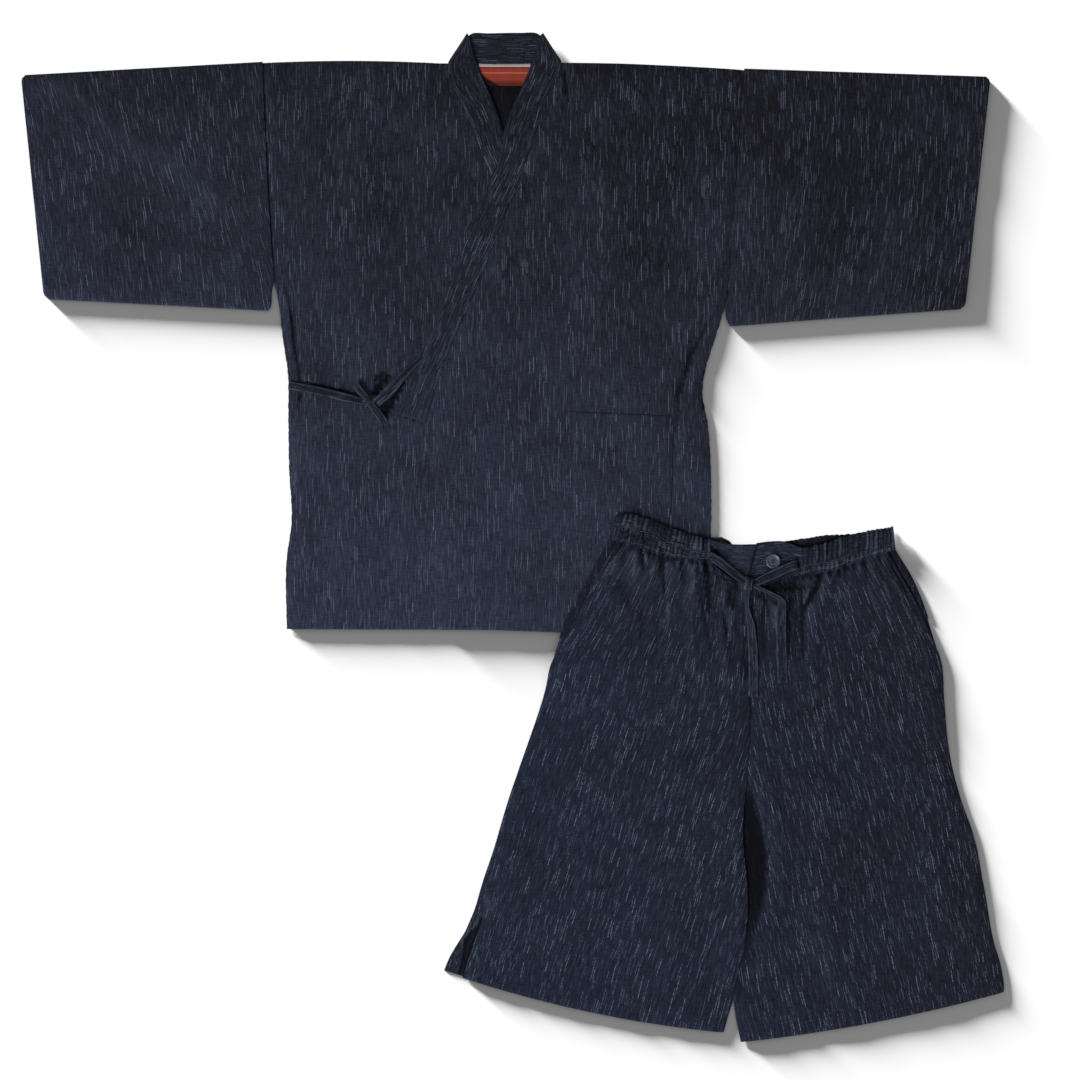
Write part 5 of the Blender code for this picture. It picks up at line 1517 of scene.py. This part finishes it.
def sewWaistband(net, table, fromX, toX):
    runs = np.linspace(0, net["run"], 240)
    x, _ = spotsOn(net, 0.5, runs)
    keep = (x > fromX) & (x < toX)
    runs, share = runs[keep], np.interp(x, *table)[keep]
    wander = 0.025 * np.sin(runs * 0.37) + 0.02 * np.sin(runs * 0.16 + 1)
    how = {"lift": 0.3, "into": "stitches_pale", "origin": waist}
    sewOn(net, share + wander, runs, pitch=3.1, length=2.7, width=0.8, wander=0.3, seed=5, **how)
    sewOn(net, share + wander - 0.07, runs, pitch=3.3, length=2.6, width=0.6, wander=0.5, seed=8, **how)
    sewOn(net, 0.1 + 0.8 * wander, runs, pitch=3.1, length=2.7, width=0.8, wander=0.3, seed=6, **how)


def sewButton():
    cosine, sine = math.cos(button["turn"]), math.sin(button["turn"])
    ends = []
    for along in (-0.78, 0.78):
        spots = [(along, side * 0.71, strand) for side in (-1, 1) for strand in (-0.35, 0, 0.35)]
        spots = [(x * button["holeSpread"], y * button["holeSpread"] + strand) for x, y, strand in spots]
        turned = [(x * cosine - y * sine, x * sine + y * cosine) for x, y in spots]
        ends.append(np.array([(buttonX + x, buttonY + y, buttonBase + 1.75) for x, y in turned]))
    threads["stitches_navy"].append((*ends, 0.42))


def sewAll():
    pale, navy = "stitches_pale", "stitches_navy"
    # collar bands, near their outer edges
    for net, share in ((leftBand, 0.9), (rightBand, 0.1)):
        straightRow(net, (share, 6), (share, net["run"] - 4), pale, nape, pitch=3.1, width=0.4)
    straightRow(leftBand, (0.06, leftBand["run"] - 5), (0.94, leftBand["run"] - 5), navy, nape, pitch=3.2)
    straightRow(backBand, (0.12, 3), (0.12, backBand["run"] - 3), navy, nape)
    # patch pocket
    straightRow(pocketNet, (0.02, 20), (0.98, 20), navy, nape, pitch=3.6)
    for share in (0.02, 0.98):
        straightRow(pocketNet, (share, 3), (share, pocketNet["run"] - 2), navy, nape)
    sewWaistband(rightWaist, waistband["rowRight"], -170, -50)
    sewWaistband(leftWaist, waistband["rowLeft"], 58, 174)
    # hems and fly
    for net in (rightLeg, leftLeg):
        straightRow(net, (0.015, net["run"] - 12), (0.985, net["run"] - 12), navy, waist)
    straightRow(leftLeg, (0.012, 8), (0.012, 250), navy, waist)
    for net in (rightFront, leftFront):
        straightRow(net, (0.01, net["run"] - 14), (0.99, net["run"] - 14), navy, nape, pitch=3.6)
    sewButton()
    for into, finish in ((pale, paleThread), (navy, navyThread)):
        enrol(joinStitches(into, finish), None)


sewAll()
print("stitches sewn")

# floor, lights and camera


def makeFloor():
    made, tree, shader = newMaterial("pale_floor", 0.9, 0, 0.1)
    tone = put(tree, "TexNoise", put(tree, "TexCoord", out=3), None, 3, 2)
    tree.links.new(mixTones(tree, tone, (0.88, 0.88, 0.88, 1), (0.9, 0.9, 0.9, 1)), shader.inputs["Base Color"])
    bpy.ops.mesh.primitive_plane_add(size=studio["floor"], location=(0, 0, -studio["floorDrop"]))
    floor = bpy.context.active_object
    floor.name = "floor"
    floor.data.materials.append(made)
    return floor


studio = {
    # turn: degrees round from +X. height: degrees over the floor. size: degrees across
    "shadow": {"turn": 135, "height": 5.4, "power": 31, "size": 8.2},
    "key": {"turn": 225, "height": 34, "power": 4, "size": 45},
    "fill": 0.25,
    "lens": 85,
    "sensor": 36,
    "framed": 1.35,  # metres across the frame, at the height of the cloth
    "clothHeight": 0.004,
    "middle": (0.0331, -0.0031),
    "floor": 40,  # metres across
    "floorDrop": 0.0004,  # so that the lowest threads don't sink into it
}


def makeSun(name, lit, turn, height, power, size):
    # a sun that lights only some objects
    data = bpy.data.lights.new(name, "SUN")
    data.energy = power
    data.angle = math.radians(size)
    made = bpy.data.objects.new(name, data)
    turn, height = math.radians(turn), math.radians(height)
    towards = Vector((math.cos(turn) * math.cos(height), math.sin(turn) * math.cos(height), math.sin(height)))
    made.rotation_mode = "QUATERNION"
    made.rotation_quaternion = towards.to_track_quat("Z", "Y")
    bpy.context.scene.collection.objects.link(made)
    held = bpy.data.collections.new(name + "_lit")
    for found in lit:
        held.objects.link(found)
    made.light_linking.receiver_collection = held


def makeStudio():
    floor = makeFloor()
    garments = [found for found in bpy.context.scene.objects if found.type == "MESH" and found is not floor]
    makeSun("shadow_light", [floor], **studio["shadow"])
    makeSun("key_light", garments, **studio["key"])
    world = bpy.data.worlds.new("studio")
    world.use_nodes = True
    background = world.node_tree.nodes["Background"].inputs
    background[0].default_value = (1, 1, 1, 1)
    background[1].default_value = studio["fill"]
    bpy.context.scene.world = world
    lens = bpy.data.cameras.new("camera")
    lens.lens, lens.sensor_width = studio["lens"], studio["sensor"]
    camera = bpy.data.objects.new("camera", lens)
    distance = studio["framed"] * studio["lens"] / studio["sensor"]
    camera.location = (*studio["middle"], distance + studio["clothHeight"])
    bpy.context.scene.collection.objects.link(camera)
    bpy.context.scene.camera = camera
    bpy.context.scene.view_settings.view_transform = "Standard"


makeStudio()
print("ready")
